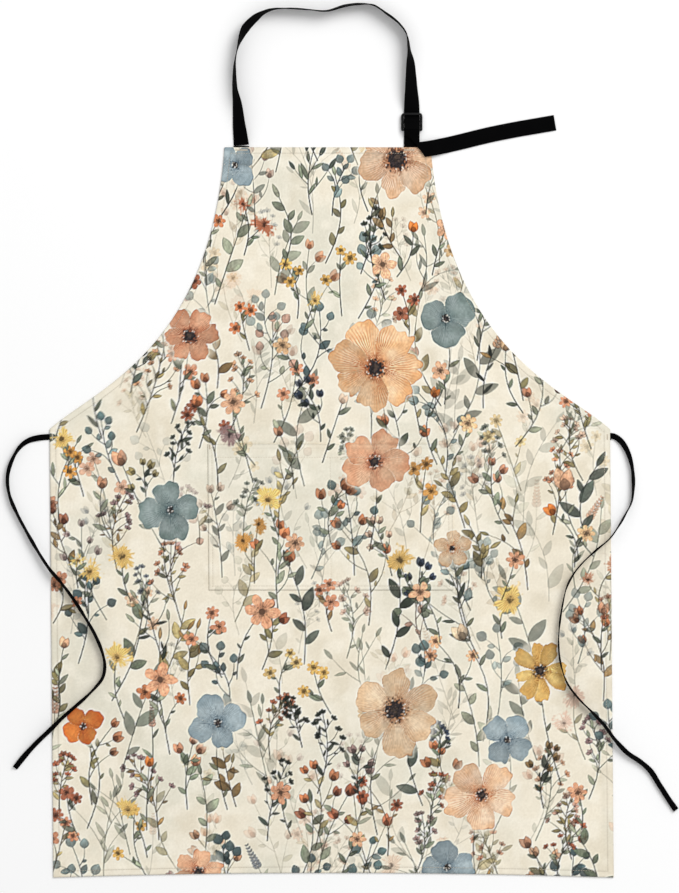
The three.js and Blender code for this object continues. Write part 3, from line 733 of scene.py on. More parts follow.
CORAL = (tone(232, 188, 152), tone(216, 154, 116), tone(150, 72, 46))
ROSE = (tone(222, 170, 136), tone(204, 138, 102), tone(140, 66, 40))
CREAM = (tone(238, 214, 182), tone(222, 186, 146), tone(170, 104, 64))
BLUE = (tone(164, 178, 182), tone(130, 147, 154), tone(60, 78, 92))
TEAL = (tone(154, 168, 166), tone(116, 134, 130), tone(46, 66, 72))
GOLD = (tone(230, 196, 122), tone(210, 160, 84), tone(150, 92, 36))
ORANGE = (tone(224, 140, 66), tone(206, 100, 38), tone(140, 48, 22))


def pick(colours):
    return colours[rng.integers(len(colours))] * rng.uniform(0.92, 1.06)


# ---------------------------------------------------------------- plants of the print
# Each row: share of the fillers, height range, greens, blooms, tip drawing, its size,
# leaves, leaf size, leaf width, shoots, reach of a shoot
PLANTS = [
    (3, (70, 130), GREENS + OLIVES, GREENS, blade, 16, 5, 20, 0.50, 0, 0),
    (2, (80, 135), DARKS, DARKS, blade, 19, 5, 27, 0.42, 0, 0),
    (2, (60, 115), OLIVES, OLIVES, blade, 14, 5, 18, 0.50, 2, 0.3),
    (4, (60, 120), GREENS + OLIVES, WARMS, bud, 14, 3, 16, 0.46, 3, 0.34),
    (3, (60, 110), GREENS + DARKS, OLIVES + NAVIES + DUSTY, bud, 11, 3, 15, 0.42, 4, 0.32),
    (4, (60, 105), GREENS + OLIVES, WARMS + DUSTY, cluster, 5.6, 2, 13, 0.40, 9, 0.28),
    (2, (50, 95), DARKS + GREENS, NAVIES + DARKS, cluster, 5.2, 3, 14, 0.32, 8, 0.26),
    (2, (60, 110), TEALS, TEALS, coin, 12, 2, 14, 0.60, 4, 0.32),
    (1, (60, 110), GREENS + DUSTY, DUSTY + GREENS, coin, 12, 0, 14, 0.60, 5, 0.30),
    (1, (60, 100), GREENS + DARKS, NAVIES + DUSTY + WARMS, spike, 15, 4, 17, 0.26, 0, 0),
    (4, (50, 100), OLIVES + GREENS, WARMS + GOLDS, blossom, 8.5, 2, 15, 0.40, 2, 0.36),
    (2, (50, 95), OLIVES + GREENS, DUSTY + WARMS + GOLDS, daisy, 10, 2, 14, 0.38, 1, 0.36),
    (3, (60, 130), GREENS + DARKS, GREENS + DARKS, blade, 14, 2, 21, 0.26, 4, 0.42),
]


def stem_place(points, t):
    """Point and direction at a share t of a stem."""
    place = t * (len(points) - 1)
    i = min(int(place), len(points) - 2)
    x, y = points[i] + (place - i) * (points[i + 1] - points[i])
    dx, dy = points[i + 1] - points[i]
    return x, y, math.atan2(dy, dx)


def grow(foot, tip, look, green, bloom, faint=1.0, order=0):
    """A stem from foot to tip with leaves, side shoots that are smaller plants, and its top."""
    _, _, _, _, top, size, leaves, leaf_size, leaf_width, shoots, reach = look
    stem = bow(*foot, *tip, rng.uniform(-0.15, 0.15))
    length = math.dist(foot, tip)
    stroke(stem, 0.85 if order else 1.2, green * 0.4, 0.95 * faint)
    side = rng.choice([-1, 1])
    count = 1 if order else leaves
    for k in range(count):
        side = -side
        px, py, aim = stem_place(stem, 0.12 + 0.82 * (k + rng.uniform(0, 0.6)) / count)
        long = leaf_size * rng.uniform(0.6, 1.25) * (0.7 if order else 1)
        turn = aim + side * rng.uniform(0.45, 0.95)
        leaf(px, py, turn, long, long * leaf_width, green * rng.uniform(0.72, 1.2), 0.92 * faint)
    for k in range(0 if order else shoots):
        side = -side
        px, py, aim = stem_place(stem, 0.3 + 0.65 * k / shoots)
        turn = aim + side * rng.uniform(0.35, 0.8)
        far = length * reach * rng.uniform(0.7, 1.15) * (1.2 - 0.7 * k / shoots)
        grow((px, py), (px + far * math.cos(turn), py + far * math.sin(turn)), look, green, bloom, faint, 1)
    if size:
        px, py, aim = stem_place(stem, 1)
        top(px, py, aim, size * rng.uniform(0.8, 1.15), bloom * rng.uniform(0.9, 1.08), 0.92 * faint)


def filler(x, y, faint=1.0):
    """One of the plants between the flowers. x, y is its foot."""
    shares = np.array([plant[0] for plant in PLANTS], dtype=float)
    look = PLANTS[rng.choice(len(PLANTS), p=shares / shares.sum())]
    height = rng.uniform(*look[1])
    lean_over = height * rng.uniform(-0.38, 0.38)
    grow((x, y), (x + lean_over, y + height), look, pick(look[2]), pick(look[3]), faint)


# x, y, radius, petals, half angle of a petal, tones, share of the heart, strength of veins, turn
BIG_FLOWERS = [
    (77, 416, 50, 6, 0.66, PEACH, 0.22, 0.9, 0.3),
    (51, 170, 54, 7, 0.60, APRICOT, 0.16, 1.0, 0.1),
    (75, -233, 53, 6, 0.64, CREAM, 0.20, 0.9, 0.5),
    (177, -333, 44, 5, 0.68, PEACH, 0.12, 0.8, 0.9),
    (-167, 208, 34, 6, 0.64, ROSE, 0.20, 1.0, 0.0),
    (51, 60, 39, 5, 0.80, CORAL, 0.16, 0.45, 1.2),
    (134, 228, 34, 3, 1.05, TEAL, 0.10, 0.45, 0.6),
    (-190, 3, 36, 4, 0.86, TEAL, 0.08, 0.5, 0.2),
    (-134, -248, 33, 4, 0.88, BLUE, 0.10, 0.6, 0.4),
    (207, -268, 30, 4, 0.84, BLUE, 0.08, 0.5, 0.9),
    (136, -418, 30, 4, 0.90, BLUE, 0.09, 0.5, 0.1),
    (-114, 409, 27, 4, 0.90, BLUE, 0.09, 0.5, 0.7),
    (245, -187, 34, 8, 0.42, GOLD, 0.18, 0.8, 0.2),
    (-293, -252, 24, 4, 0.88, ORANGE, 0.12, 0.4, 0.5),
    (142, -43, 22, 5, 0.66, CREAM, 0.12, 0.9, 0.3),
    (-157, -424, 30, 6, 0.62, CORAL, 0.16, 0.7, 0.3),
]
BLOOM = (0, 0, GREENS, WARMS, blossom, 0, 4, 13, 0.36, 0, 0)
BUD = (0, 0, GREENS, WARMS, bud, 0, 3, 15, 0.36, 0, 0)
# x, y, size and tones of the middling flowers
SMALL_FLOWERS = [
    (-285, -70, 13, GOLD), (-299, -56, 10, GOLD), (-247, -52, 12, GOLD), (80, -56, 13, GOLD),
    (104, -94, 13, CORAL), (-75, 15, 12, GOLD), (-116, 130, 16, CORAL), (-58, 197, 13, APRICOT),
    (-202, -197, 18, ROSE), (-82, -117, 18, ROSE), (128, 167, 12, CORAL), (-318, 86, 13, GOLD),
    (-43, -36, 12, CORAL), (-253, -171, 15, GOLD), (210, -103, 14, GOLD), (216, -56, 12, ROSE),
    (60, 292, 15, CORAL), (300, -25, 12, APRICOT), (-60, -330, 12, ROSE), (-240, -350, 12, GOLD),
    (290, -330, 11, ROSE), (160, 105, 11, APRICOT), (-20, 250, 9, GOLD), (135, 335, 12, CORAL),
    (30, -385, 12, CORAL),
]
BUDS = [
    (-246, 55, 26, ROSE), (-271, 28, 17, ROSE), (275, 26, 25, CORAL), (263, -2, 16, ORANGE),
    (157, -150, 24, CREAM), (-150, 320, 14, ROSE), (-215, -300, 16, ORANGE), (12, 128, 14, CORAL),
    (320, -120, 15, ROSE), (233, -395, 16, ROSE), (-316, -160, 14, CORAL), (96, 330, 15, ORANGE),
    (-60, 90, 14, ROSE), (205, 190, 16, APRICOT), (120, 135, 17, ORANGE),
]


def clear_of_flowers(x, y, margin):
    return all(math.hypot(x - flower[0], y - flower[1]) > flower[2] * margin for flower in BIG_FLOWERS)


BIB_SOWN_FROM = 150  # above this height the fillers stand closer


def paint_print():
    """Faint plants behind, then the fillers row by row, then the flowers on their stems."""
    for _ in range(90):
        filler(rng.uniform(-345, 345), rng.uniform(-500, 400), 0.2)
    step = 53
    for row, y in enumerate(np.arange(-500, 430, step)):
        gap = step if y < BIB_SOWN_FROM else 0.85 * step
        for x in np.arange(-350 + (row % 2) * gap / 2, 350, gap):
            px, py = x + rng.uniform(-13, 13), y + rng.uniform(-15, 15)
            if clear_of_flowers(px, py + 50, 0.6):
                filler(px, py, rng.choice([0.6, 0.95, 1.0, 1.0]))
    for x, y, radius, *_ in BIG_FLOWERS:
        foot = (x + rng.uniform(-30, 30), y - radius - rng.uniform(60, 100))
        grow(foot, (x, y), BUD, tone(98, 100, 78), tone(120, 110, 80))
    for looks, places in ((BLOOM, SMALL_FLOWERS), (BUD, BUDS)):
        for x, y, size, tones in places:
            foot = (x + size * rng.uniform(-2, 2), y - size * rng.uniform(3, 5))
            top = daisy if tones is GOLD else looks[4]
            look = looks[:4] + (top, size) + looks[6:]
            grow(foot, (x, y), look, pick(GREENS), 0.5 * (tones[0] + tones[1]))
    for x, y, radius, petals, half_angle, tones, heart_share, veins, turn in BIG_FLOWERS:
        big_flower(x, y, radius, petals, half_angle, tones, heart_share, veins, turn)


def crisper(image, reach, amount):
    """The image with harder edges, as fine lines of ink have on smooth cloth."""
    soft = image
    for axis in (0, 1):
        soft = sum(np.roll(soft, shift, axis) for shift in range(-reach, reach + 1)) / (2 * reach + 1)
    return image + amount * (image - soft)


paint_print()
canvas = np.clip(crisper(canvas, 2, 0.85), 0.04, 0.985)


def printed(x, y):
    """Linear colour of the print at places in millimetres."""
    column = np.clip((x - CANVAS_LEFT) / CELL, 0, CANVAS_COLUMNS - 1.001)
    row = np.clip((y - CANVAS_BOTTOM) / CELL, 0, CANVAS_ROWS - 1.001)
    i, j = row.astype(int), column.astype(int)
    down, over = (row - i)[..., None], (column - j)[..., None]
    upper = canvas[i + 1, j] * (1 - over) + canvas[i + 1, j + 1] * over
    lower = canvas[i, j] * (1 - over) + canvas[i, j + 1] * over
    colour = lower * (1 - down) + upper * down
    return np.where(colour <= 0.04045, colour / 12.92, ((colour + 0.055) / 1.055) ** 2.4)


# ---------------------------------------------------------------- cloth pieces
REVERSE_TONE = np.array([0.77, 0.71, 0.60])
SHOW_THROUGH = 0.28
COARSE = 6  # the reverse has one vertex for this many on the printed face


def cloth(name, x, y, top, thickness, painted_shade):
    """A closed sheet of printed cloth over a grid of places: fine in front, coarse behind."""
    rows, columns = x.shape
    front = np.stack([x, y, top(x, y)], axis=-1)
    i = np.unique(np.append(np.arange(0, rows - 1, COARSE), rows - 1))
    j = np.unique(np.append(np.arange(0, columns - 1, COARSE), columns - 1))
    back = front[np.ix_(i, j)]
    lowest = front[..., 2]
    for axis in (0, 1):
        padded = np.pad(lowest, [(COARSE, COARSE) if axis == k else (0, 0) for k in (0, 1)], mode="edge")
        shifts = [np.roll(padded, shift, axis) for shift in range(-COARSE, COARSE + 1)]
        lowest = np.min(shifts, axis=0)
        lowest = lowest[COARSE:-COARSE] if axis == 0 else lowest[:, COARSE:-COARSE]
    back[..., 2] = lowest[np.ix_(i, j)] - thickness
    first_back = rows * columns
    quads = [grid_faces(rows, columns), grid_faces(len(i), len(j), first_back, flip=True)]

    def rim(fine, coarse, marks):
        """Joins a line of front vertices to the line of back vertices under its marked ones."""
        faces = []
        for k in range(len(marks) - 1):
            a, b = marks[k], marks[k + 1]
            half = (a + b) // 2
            faces += [(fine[m], coarse[k], fine[m + 1]) for m in range(a, half)]
            faces.append((fine[half], coarse[k], coarse[k + 1]))
            faces += [(fine[m], coarse[k + 1], fine[m + 1]) for m in range(half, b)]
        return faces

    fine = np.arange(rows * columns).reshape(rows, columns)
    coarse = first_back + np.arange(len(i) * len(j)).reshape(len(i), len(j))
    bottom = rim(fine[0], coarse[0], j)
    top_edge = rim(fine[-1], coarse[-1], j)
    left = rim(fine[:, 0], coarse[:, 0], i)
    right = rim(fine[:, -1], coarse[:, -1], i)
    turned = [face[::-1] for face in top_edge + left]
    points = np.concatenate([front.reshape(-1, 3), back.reshape(-1, 3)])
    piece = build(name, points, np.concatenate(quads), np.array(bottom + right + turned))
    # The print darkened by painted shade along edges and stitch grooves; the reverse shows it through too.
    face = printed(x, y) * painted_shade[..., None]
    reverse = REVERSE_TONE * (1 - SHOW_THROUGH) + face[np.ix_(i, j)] * SHOW_THROUGH
    colours = np.concatenate([face.reshape(-1, 3), reverse.reshape(-1, 3)])
    mark(piece, "print", np.hstack([colours, np.ones((len(colours), 1))]), "FLOAT_COLOR")
    return piece


CLOTH_THICKNESS = 0.35
CLOTH_ROWS = 861
CLOTH_COLUMNS = 655


def make_panel():
    u = np.linspace(-1, 1, CLOTH_COLUMNS)[None, :]
    v = np.linspace(0, 1, CLOTH_ROWS)[:, None]
    low = SKIRT_BOTTOM + BOTTOM_EDGE_RISE * (1 - u**2)
    y = low + v * (BIB_TOP - low)
    x = lean(y) + half_width(y) * u
    inset = edge_distance(x, y)
    # Painted shade: a dark line along the stitch groove and a darker band at the cloth's edge.
    painted_shade = 1 - 0.16 * np.exp(-(((inset - STITCH_INSET) / 0.8) ** 2)) - 0.12 * np.exp(-((inset / 1.2) ** 2))
    return cloth("apron_cloth", x, y, relief, CLOTH_THICKNESS, painted_shade)


def make_pocket():
    a = np.linspace(-POCKET_HALF_WIDTH, POCKET_HALF_WIDTH, 289)[None, :]
    y = np.linspace(POCKET_BOTTOM, POCKET_TOP, 173)[:, None] + 0 * a
    inset = np.minimum(POCKET_HALF_WIDTH - np.abs(a), np.minimum(y - POCKET_BOTTOM, POCKET_TOP - y))
    # Painted shade along the pocket's folded edges and along its stitch groove.
    painted_shade = 1 - 0.24 * np.exp(-((inset / 1.1) ** 2))
    painted_shade -= 0.08 * np.exp(-(((inset - POCKET_STITCH_INSET) / 0.8) ** 2))
    return cloth("pocket_cloth", a + lean(y), y, pocket_relief, CLOTH_THICKNESS, painted_shade)


def strip_line(line, inset):
    """A line moved inwards by a distance: the cloth is on the right of its direction of travel."""
    ahead = np.gradient(line, axis=0)
    ahead /= np.linalg.norm(ahead, axis=1)[:, None]
    return line + np.stack([ahead[:, 1], -ahead[:, 0]], axis=1) * inset


def leaned(line):
    return line + np.stack([lean(line[:, 1]), 0 * line[:, 0]], axis=1)


def spaced(line, spacing):
    """The same line with evenly spaced points."""
    places = np.concatenate([[0], np.cumsum(np.linalg.norm(np.diff(line, axis=0), axis=1))])
    even = np.linspace(0, places[-1], max(int(places[-1] / spacing), 2) + 1)
    return np.stack([np.interp(even, places, line[:, k]) for k in (0, 1)], axis=1)


def mirrored(line):
    return (line * np.array([-1, 1]))[::-1]


def edge_lines():
    """Edges of the cloth before its lean, each with the cloth on its right."""
    right_side = np.array([(SKIRT_HALF_WIDTH, SKIRT_TOP), (SKIRT_HALF_WIDTH, SKIRT_BOTTOM)])
    across = np.linspace(1, -1, 60)
    bottom = np.stack([SKIRT_HALF_WIDTH * across, SKIRT_BOTTOM + BOTTOM_EDGE_RISE * (1 - across**2)], axis=1)
    top = np.array([(-BIB_HALF_WIDTH, BIB_TOP), (BIB_HALF_WIDTH, BIB_TOP)])
    return {
        "bib_top": top,
        "left_armhole": mirrored(ARMHOLE),
        "right_armhole": ARMHOLE,
        "left_side": mirrored(right_side),
        "right_side": right_side,
        "bottom": bottom,
    }


def hem(name, line, width, height, layers=2):
    """Cloth folded twice behind an edge: a flat band with a round fold along the edge."""
    line = spaced(line, 3)
    thick = 0.42 * layers
    fold = np.linspace(math.pi / 2, -math.pi / 2, 7)
    radius = thick / 2
    outline = [(radius - radius * math.cos(a), radius * math.sin(a)) for a in fold]
    outline += [(inset, -radius) for inset in (2, 4, 6, width - 0.3)]
    outline += [(width, -radius * 0.4), (width, radius * 0.4)]
    outline += [(inset, radius) for inset in (width - 0.3, 6, 4, 2)]
    rings = []
    for inset, level in outline:
        place = leaned(strip_line(line, inset))
        z = height(place[:, 0], place[:, 1]) - CLOTH_THICKNESS - 0.06 - radius + level
        rings.append(np.column_stack([place, z]))
    points = np.stack(rings, axis=1)
    count = len(outline)
    lower = np.arange(count)
    upper = (lower + 1) % count
    ring = np.arange(len(line) - 1)[:, None] * count
    quads = np.stack([ring + lower, ring + count + lower, ring + count + upper, ring + upper], axis=-1)
    far = (len(line) - 1) * count
    ends = [(0, k, k + 1) for k in range(1, count - 1)]
    ends += [(far, far + k + 1, far + k) for k in range(1, count - 1)]
    return build(name, points.reshape(-1, 3), quads.reshape(-1, 4), np.array(ends))


def stitches(name, lines, height, pitch=3.0, length=2.4, radius=0.2, across=False):
    """Rows of single stitches: each is a short rounded piece of thread pulled into the cloth at its ends."""
    stations = np.array([-1, -0.82, -0.4, 0.4, 0.82, 1])
    girth = np.array([0.25, 0.8, 1, 1, 0.8, 0.25])
    around = np.arange(6) * math.pi / 3
    points = []
    for line in lines:
        seats = spaced(line, pitch)
        ahead = np.gradient(seats, axis=0)
        ahead /= np.linalg.norm(ahead, axis=1)[:, None]
        if across:
            ahead = np.stack([-ahead[:, 1], ahead[:, 0]], axis=1)
        side = np.stack([-ahead[:, 1], ahead[:, 0]], axis=1)
        middle = seats[:, None, None] + ahead[:, None, None] * (stations * length / 2)[None, :, None, None]
        ring = (girth[:, None] * np.cos(around))[None, ..., None] * radius
        place = middle + side[:, None, None] * ring
        z = height(middle[..., 0], middle[..., 1]) + 0.06 - 0.2 * np.abs(stations[None, :, None]) ** 3
        z = z + (girth[:, None] * np.sin(around))[None] * radius
        heights = np.broadcast_to(z, place.shape[:-1])[..., None]
        points.append(np.concatenate([place, heights], axis=-1).reshape(-1, 3))
    points = np.concatenate(points)
    per_stitch = len(stations) * len(around)
    starts = np.arange(0, len(points), per_stitch)[:, None]
    n = len(around)
    body = []
    for k in range(len(stations) - 1):
        for a in range(n):
            b = (a + 1) % n
            body.append((k * n + a, (k + 1) * n + a, (k + 1) * n + b, k * n + b))
    caps = [(0, a, a + 1) for a in range(1, n - 1)]
    last = (len(stations) - 1) * n
    caps += [(last, last + a + 1, last + a) for a in range(1, n - 1)]
    quads = (starts[..., None] + np.array(body)[None]).reshape(-1, 4)
    triangles = (starts[..., None] + np.array(caps)[None]).reshape(-1, 3)
    return build(name, points, quads, triangles)


def flat_line(points):
    return leaned(np.array(points, dtype=float))


# ---------------------------------------------------------------- buckle
def rounded_outline(corners):
    """A closed outline from (x, y, radius) corners, each rounded by an arc."""
    outline = []
    count = len(corners)
    for k, (x, y, radius) in enumerate(corners):
        here = np.array((x, y), dtype=float)
        before = np.array(corners[k - 1][:2]) - here
        after = np.array(corners[(k + 1) % count][:2]) - here
        before /= np.linalg.norm(before)
        after /= np.linalg.norm(after)
        for t in np.linspace(0, 1, 7):
            outline.append(here + radius * (before * (1 - t) ** 2 + after * t**2))
    return outline


def bevelled_plate(name, outlines, thickness, bevel):
    """A plate with holes and rounded edges, from closed outlines in millimetres."""
    curve = bpy.data.curves.new(name, "CURVE")
    curve.dimensions = "2D"
    curve.fill_mode = "BOTH"
    curve.extrude = (thickness / 2 - bevel) * MM
    curve.bevel_depth = bevel * MM
    curve.bevel_resolution = 3
    curve.offset = -bevel * MM
    for outline in outlines:
        spline = curve.splines.new("POLY")
        spline.points.add(len(outline) - 1)
        for point, (x, y) in zip(spline.points, outline):
            point.co = (x * MM, y * MM, 0, 1)
        spline.use_cyclic_u = True
    shape = bpy.data.objects.new(name, curve)
    bpy.context.collection.objects.link(shape)
    graph = bpy.context.evaluated_depsgraph_get()
    mesh = bpy.data.meshes.new_from_object(shape.evaluated_get(graph))
    bpy.data.objects.remove(shape)
    bpy.data.curves.remove(curve)
    piece = bpy.data.objects.new(name, mesh)
    bpy.context.collection.objects.link(piece)
    return piece


BUCKLE_BEVEL = 0.55
PIVOT_BAR_WIDTH = 2.2


def make_buckle():
    """Slider buckle: a frame with a middle bar and a round bar that the loop goes round."""
    half = BUCKLE_WIDTH / 2
    top = BUCKLE_LENGTH / 2
    window_half = (WEBBING_WIDTH + 0.8) / 2
    outer = [
        (half, top, 5), (-half, top, 5), (-half, -top, 2), (-window_half, -top, 0.5),
        (-window_half, -1.5, 0.8), (window_half, -1.5, 0.8), (window_half, -top, 0.5), (half, -top, 2),
    ]
    slot_top = top - 2.8
    slot = [
        (window_half, slot_top, 1), (window_half, 1.5, 0.8),
        (-window_half, 1.5, 0.8), (-window_half, slot_top, 1),
    ]
    outlines = [rounded_outline(outer), rounded_outline(slot)]
    frame_plate = bevelled_plate("buckle_frame", outlines, BUCKLE_THICKNESS, BUCKLE_BEVEL)
    shift = np.array([STRAP_RIGHT_X, BUCKLE_Y, BUCKLE_LEVEL]) * MM
    for vertex in frame_plate.data.vertices:
        vertex.co = vertex.co + type(vertex.co)(shift)
    s = np.linspace(-window_half - 1, window_half + 1, 40)
    line = np.stack([STRAP_RIGHT_X + s, 0 * s + PIVOT_BAR_Y, 0 * s + BUCKLE_LEVEL], axis=1)
    bar = TapePath(line, np.zeros(len(s)))
    pivot = tape("pivot_bar", bar, PIVOT_BAR_WIDTH, PIVOT_BAR_WIDTH, spacing=1)
    join_by_boolean(frame_plate, [pivot])
    frame_plate.name = "buckle_frame"
    return frame_plate


def join_by_boolean(piece, others):
    for other in others:
        union = piece.modifiers.new("union", "BOOLEAN")
        union.operation = "UNION"
        union.object = other
        union.solver = "EXACT"
    graph = bpy.context.evaluated_depsgraph_get()
    mesh = bpy.data.meshes.new_from_object(piece.evaluated_get(graph))
    piece.modifiers.clear()
    piece.data = mesh
    for other in others:
        bpy.data.objects.remove(other)
    mesh.shade_smooth()
    mesh.set_sharp_from_angle(angle=math.radians(38))


# ---------------------------------------------------------------- materials
class Graph:
    """A node material with a Principled shader, built by short calls."""

    def __init__(self, name, base, roughness):
        self.material = bpy.data.materials.new(name)
        self.material.use_nodes = True
        self.nodes = self.material.node_tree.nodes
        self.links = self.material.node_tree.links
        self.shader = self.nodes["Principled BSDF"]
        self.material.diffuse_color = (*base, 1)
        self.shader.inputs["Base Color"].default_value = (*base, 1)
        self.shader.inputs["Roughness"].default_value = roughness

    def add(self, kind, inputs=(), **settings):
        node = self.nodes.new(kind)
        for key, value in settings.items():
            setattr(node, key, value)
        for key, value in dict(inputs).items():
            self.put(value, node.inputs[key])
        return node

    def put(self, value, socket):
        if isinstance(value, bpy.types.NodeSocket):
            self.links.new(value, socket)
        else:
            socket.default_value = value

    def math(self, operation, a, b=0.0):
        return self.add("ShaderNodeMath", {0: a, 1: b}, operation=operation).outputs[0]

    def wave(self, value, pitch):
        """A sine of a length in metres, from -1 to 1."""
        return self.math("SINE", self.math("MULTIPLY", value, 2 * math.pi / pitch))

    def noise(self, vector, scale, detail=3.0):
        node = self.add("ShaderNodeTexNoise", {"Vector": vector, "Scale": scale, "Detail": detail})
        return node.outputs["Fac"]

    def span(self, value, low, high):
        """A value from 0 to 1 spread over another range."""
        node = self.add("ShaderNodeMapRange", {"Value": value, "To Min": low, "To Max": high})
        return node.outputs["Result"]

    def split(self, vector):
        return self.add("ShaderNodeSeparateXYZ", {0: vector}).outputs

    def bump(self, height, distance, strength=1.0):
        node = self.add("ShaderNodeBump", {"Height": height, "Distance": distance, "Strength": strength})
        self.put(node.outputs["Normal"], self.shader.inputs["Normal"])

    def scaled(self, colour, factor):
        mix = self.add("ShaderNodeMix", {0: 1.0}, data_type="RGBA", blend_type="MULTIPLY")
        self.put(colour, mix.inputs[6])
        grey = self.add("ShaderNodeCombineColor", {0: factor, 1: factor, 2: factor})
        self.put(grey.outputs[0], mix.inputs[7])
        return mix.outputs[2]

    def attribute(self, name, output):
        return self.add("ShaderNodeAttribute", attribute_name=name).outputs[output]

    def place(self):
        return self.add("ShaderNodeTexCoord").outputs["Object"]

    def set(self, **values):
        for key, value in values.items():
            self.shader.inputs[key.replace("_", " ")].default_value = value
        return self.material


YARN = 0.00052
THREAD_TONE = (0.66, 0.58, 0.46)
CLOTH_TONE = (0.83, 0.78, 0.68)
UNPRINTED_TONE = (0.80, 0.74, 0.64)
WOVEN_BLACK = (0.0016, 0.0016, 0.0018)
PLASTIC_BLACK = (0.004, 0.004, 0.0045)


def weave_height(graph, place):
    """Plain weave of slubby yarns over a place in metres."""
    x, y, _ = graph.split(place)
    slub = graph.noise(place, 900, 2)
    warp = graph.wave(x, 2 * YARN)
    weft = graph.wave(y, 2 * YARN)
    crossing = graph.math("MULTIPLY", warp, weft)
    return graph.math("ADD", graph.math("MULTIPLY", crossing, 0.5), graph.math("MULTIPLY", slub, 1.2))


def cloth_material(name, base, colour=None):
    graph = Graph(name, base, 0.82)
    place = graph.place()
    height = weave_height(graph, place)
    stretched = graph.add("ShaderNodeMapping", {"Vector": place, "Scale": (1.0, 0.07, 1.0)}).outputs[0]
    threads = graph.noise(stretched, 1500, 2)
    # Thread tone that varies at random, and painted shade in the low places of the weave.
    shade = graph.math("ADD", graph.span(threads, -0.03, 0.03), graph.span(height, 0.985, 1.0))
    tint = graph.attribute("print", "Color") if colour is None else colour
    graph.put(graph.scaled(tint, shade), graph.shader.inputs["Base Color"])
    graph.put(graph.span(graph.noise(place, 60), 0.74, 0.9), graph.shader.inputs["Roughness"])
    graph.bump(height, 0.00006, 0.5)
    return graph.set(Sheen_Weight=0.08, Sheen_Roughness=0.5, Specular_IOR_Level=0.25)


def webbing_material(name, rib, base):
    graph = Graph(name, base, 0.7)
    along, across, _ = graph.split(graph.attribute("lay", "Vector"))
    ribs = graph.wave(along, rib)
    yarns = graph.wave(across, rib * 0.9)
    woven = graph.math("MULTIPLY", ribs, yarns)
    height = graph.math("ADD", graph.math("MULTIPLY", ribs, 0.5), graph.math("MULTIPLY", woven, 0.5))
    fuzz = graph.noise(graph.place(), 1400, 3)
    height = graph.math("ADD", height, graph.math("MULTIPLY", fuzz, 0.7))
    wear = graph.span(graph.noise(graph.place(), 45), -0.25, 0.25)
    # Painted shade and light: darker in the weave's low places, lighter on its ribs; wear varies at random.
    shade = graph.math("ADD", graph.span(height, 0.9, 1.5), wear)
    graph.put(graph.scaled((*base, 1), shade), graph.shader.inputs["Base Color"])
    graph.put(graph.span(fuzz, 0.62, 0.85), graph.shader.inputs["Roughness"])
    graph.bump(height, 0.00009, 0.6)
    return graph.set(Specular_IOR_Level=0.015)


def thread_material():
    graph = Graph("sewing_thread", THREAD_TONE, 0.55)
    place = graph.place()
    x, y, _ = graph.split(place)
    twist = graph.wave(graph.math("ADD", x, y), 0.0006)
    # Painted shade in the grooves of the twist, and tone that varies at random.
    shade = graph.math("ADD", graph.span(twist, 0.93, 1.0), graph.span(graph.noise(place, 300), -0.06, 0.06))
    graph.put(graph.scaled((*THREAD_TONE, 1), shade), graph.shader.inputs["Base Color"])
    graph.put(graph.span(graph.noise(place, 120), 0.45, 0.62), graph.shader.inputs["Roughness"])
    graph.bump(twist, 0.00004, 0.7)
    return graph.set(Sheen_Weight=0.1, Specular_IOR_Level=0.4)


def plastic_material():
    graph = Graph("buckle_plastic", PLASTIC_BLACK, 0.35)
    place = graph.place()
    grain = graph.noise(place, 2600, 4)
    flow = graph.noise(place, 90, 2)
    graph.put(graph.span(flow, 0.26, 0.44), graph.shader.inputs["Roughness"])
    shade = graph.scaled((*PLASTIC_BLACK, 1), graph.span(flow, 0.8, 1.3))
    graph.put(shade, graph.shader.inputs["Base Color"])
    graph.bump(grain, 0.00002, 0.5)
    return graph.set(Specular_IOR_Level=0.16)


PRINTED_CLOTH = cloth_material("printed_cloth", CLOTH_TONE)
CLOTH_REVERSE = cloth_material("cloth_reverse", UNPRINTED_TONE, (*UNPRINTED_TONE, 1))
THREAD = thread_material()
WEBBING = webbing_material("webbing", 0.0011, WOVEN_BLACK)
TIE_TAPE = webbing_material("tie_tape", 0.0007, WOVEN_BLACK)
PLASTIC = plastic_material()


def finish_piece(piece, material, slot, *nodes):
    """Gives a piece its material and hides the CAD parts of the nodes it stands for."""
    piece.data.materials.clear()
    piece.data.materials.append(material)
    if nodes:
        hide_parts(*nodes)
    return piece


def add_piece(piece, material, slot, node, body="apron"):
    """A finished piece that stands for one node and moves with one body."""
    finish_piece(piece, material, slot, node)
    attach(piece, body)
    return piece


def strap_piece(node, path, bodies, start, end, thickness=WEBBING_THICKNESS, **settings):
    """A piece of webbing along a path, standing for one node. Its bodies, start and end are not used."""
    piece = tape(f"{node}_webbing", path, WEBBING_WIDTH, thickness, **settings)
    finish_piece(piece, WEBBING, "webbing", node)
    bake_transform(piece)
    return piece


# ---------------------------------------------------------------- the cords
neck_path = resting_path(NECK_STRAP_ROUTE, WEBBING_WIDTH, WEBBING_THICKNESS)
neck_strap = strap_piece(
    "neck_strap",
    neck_path,
    ("apron", "neck_loop"),
    start=(-0.1063, 0.4319, 0.002),
    end=(-0.1075, 0.447, 0.006),
    wave=0.25,
)

FOLD_HIGH = (97.5, 435.6)
FOLD_LOW = (109.2, 419.4)
FOLD_SLOPE = (FOLD_HIGH[0] - FOLD_LOW[0]) / (FOLD_HIGH[1] - FOLD_LOW[1])
tail_path = resting_path(STRAP_TAIL_ROUTE, WEBBING_WIDTH, WEBBING_THICKNESS)


FOLD_AT_MIDDLE = -1.6  # where the fold crosses the middle of the tail, from the start of its path
FOLD_SKEW = 0.543


def tail_start(a):
    """The tail begins on the diagonal fold, so its two edges begin at different places."""
    return FOLD_AT_MIDDLE + FOLD_SKEW * a


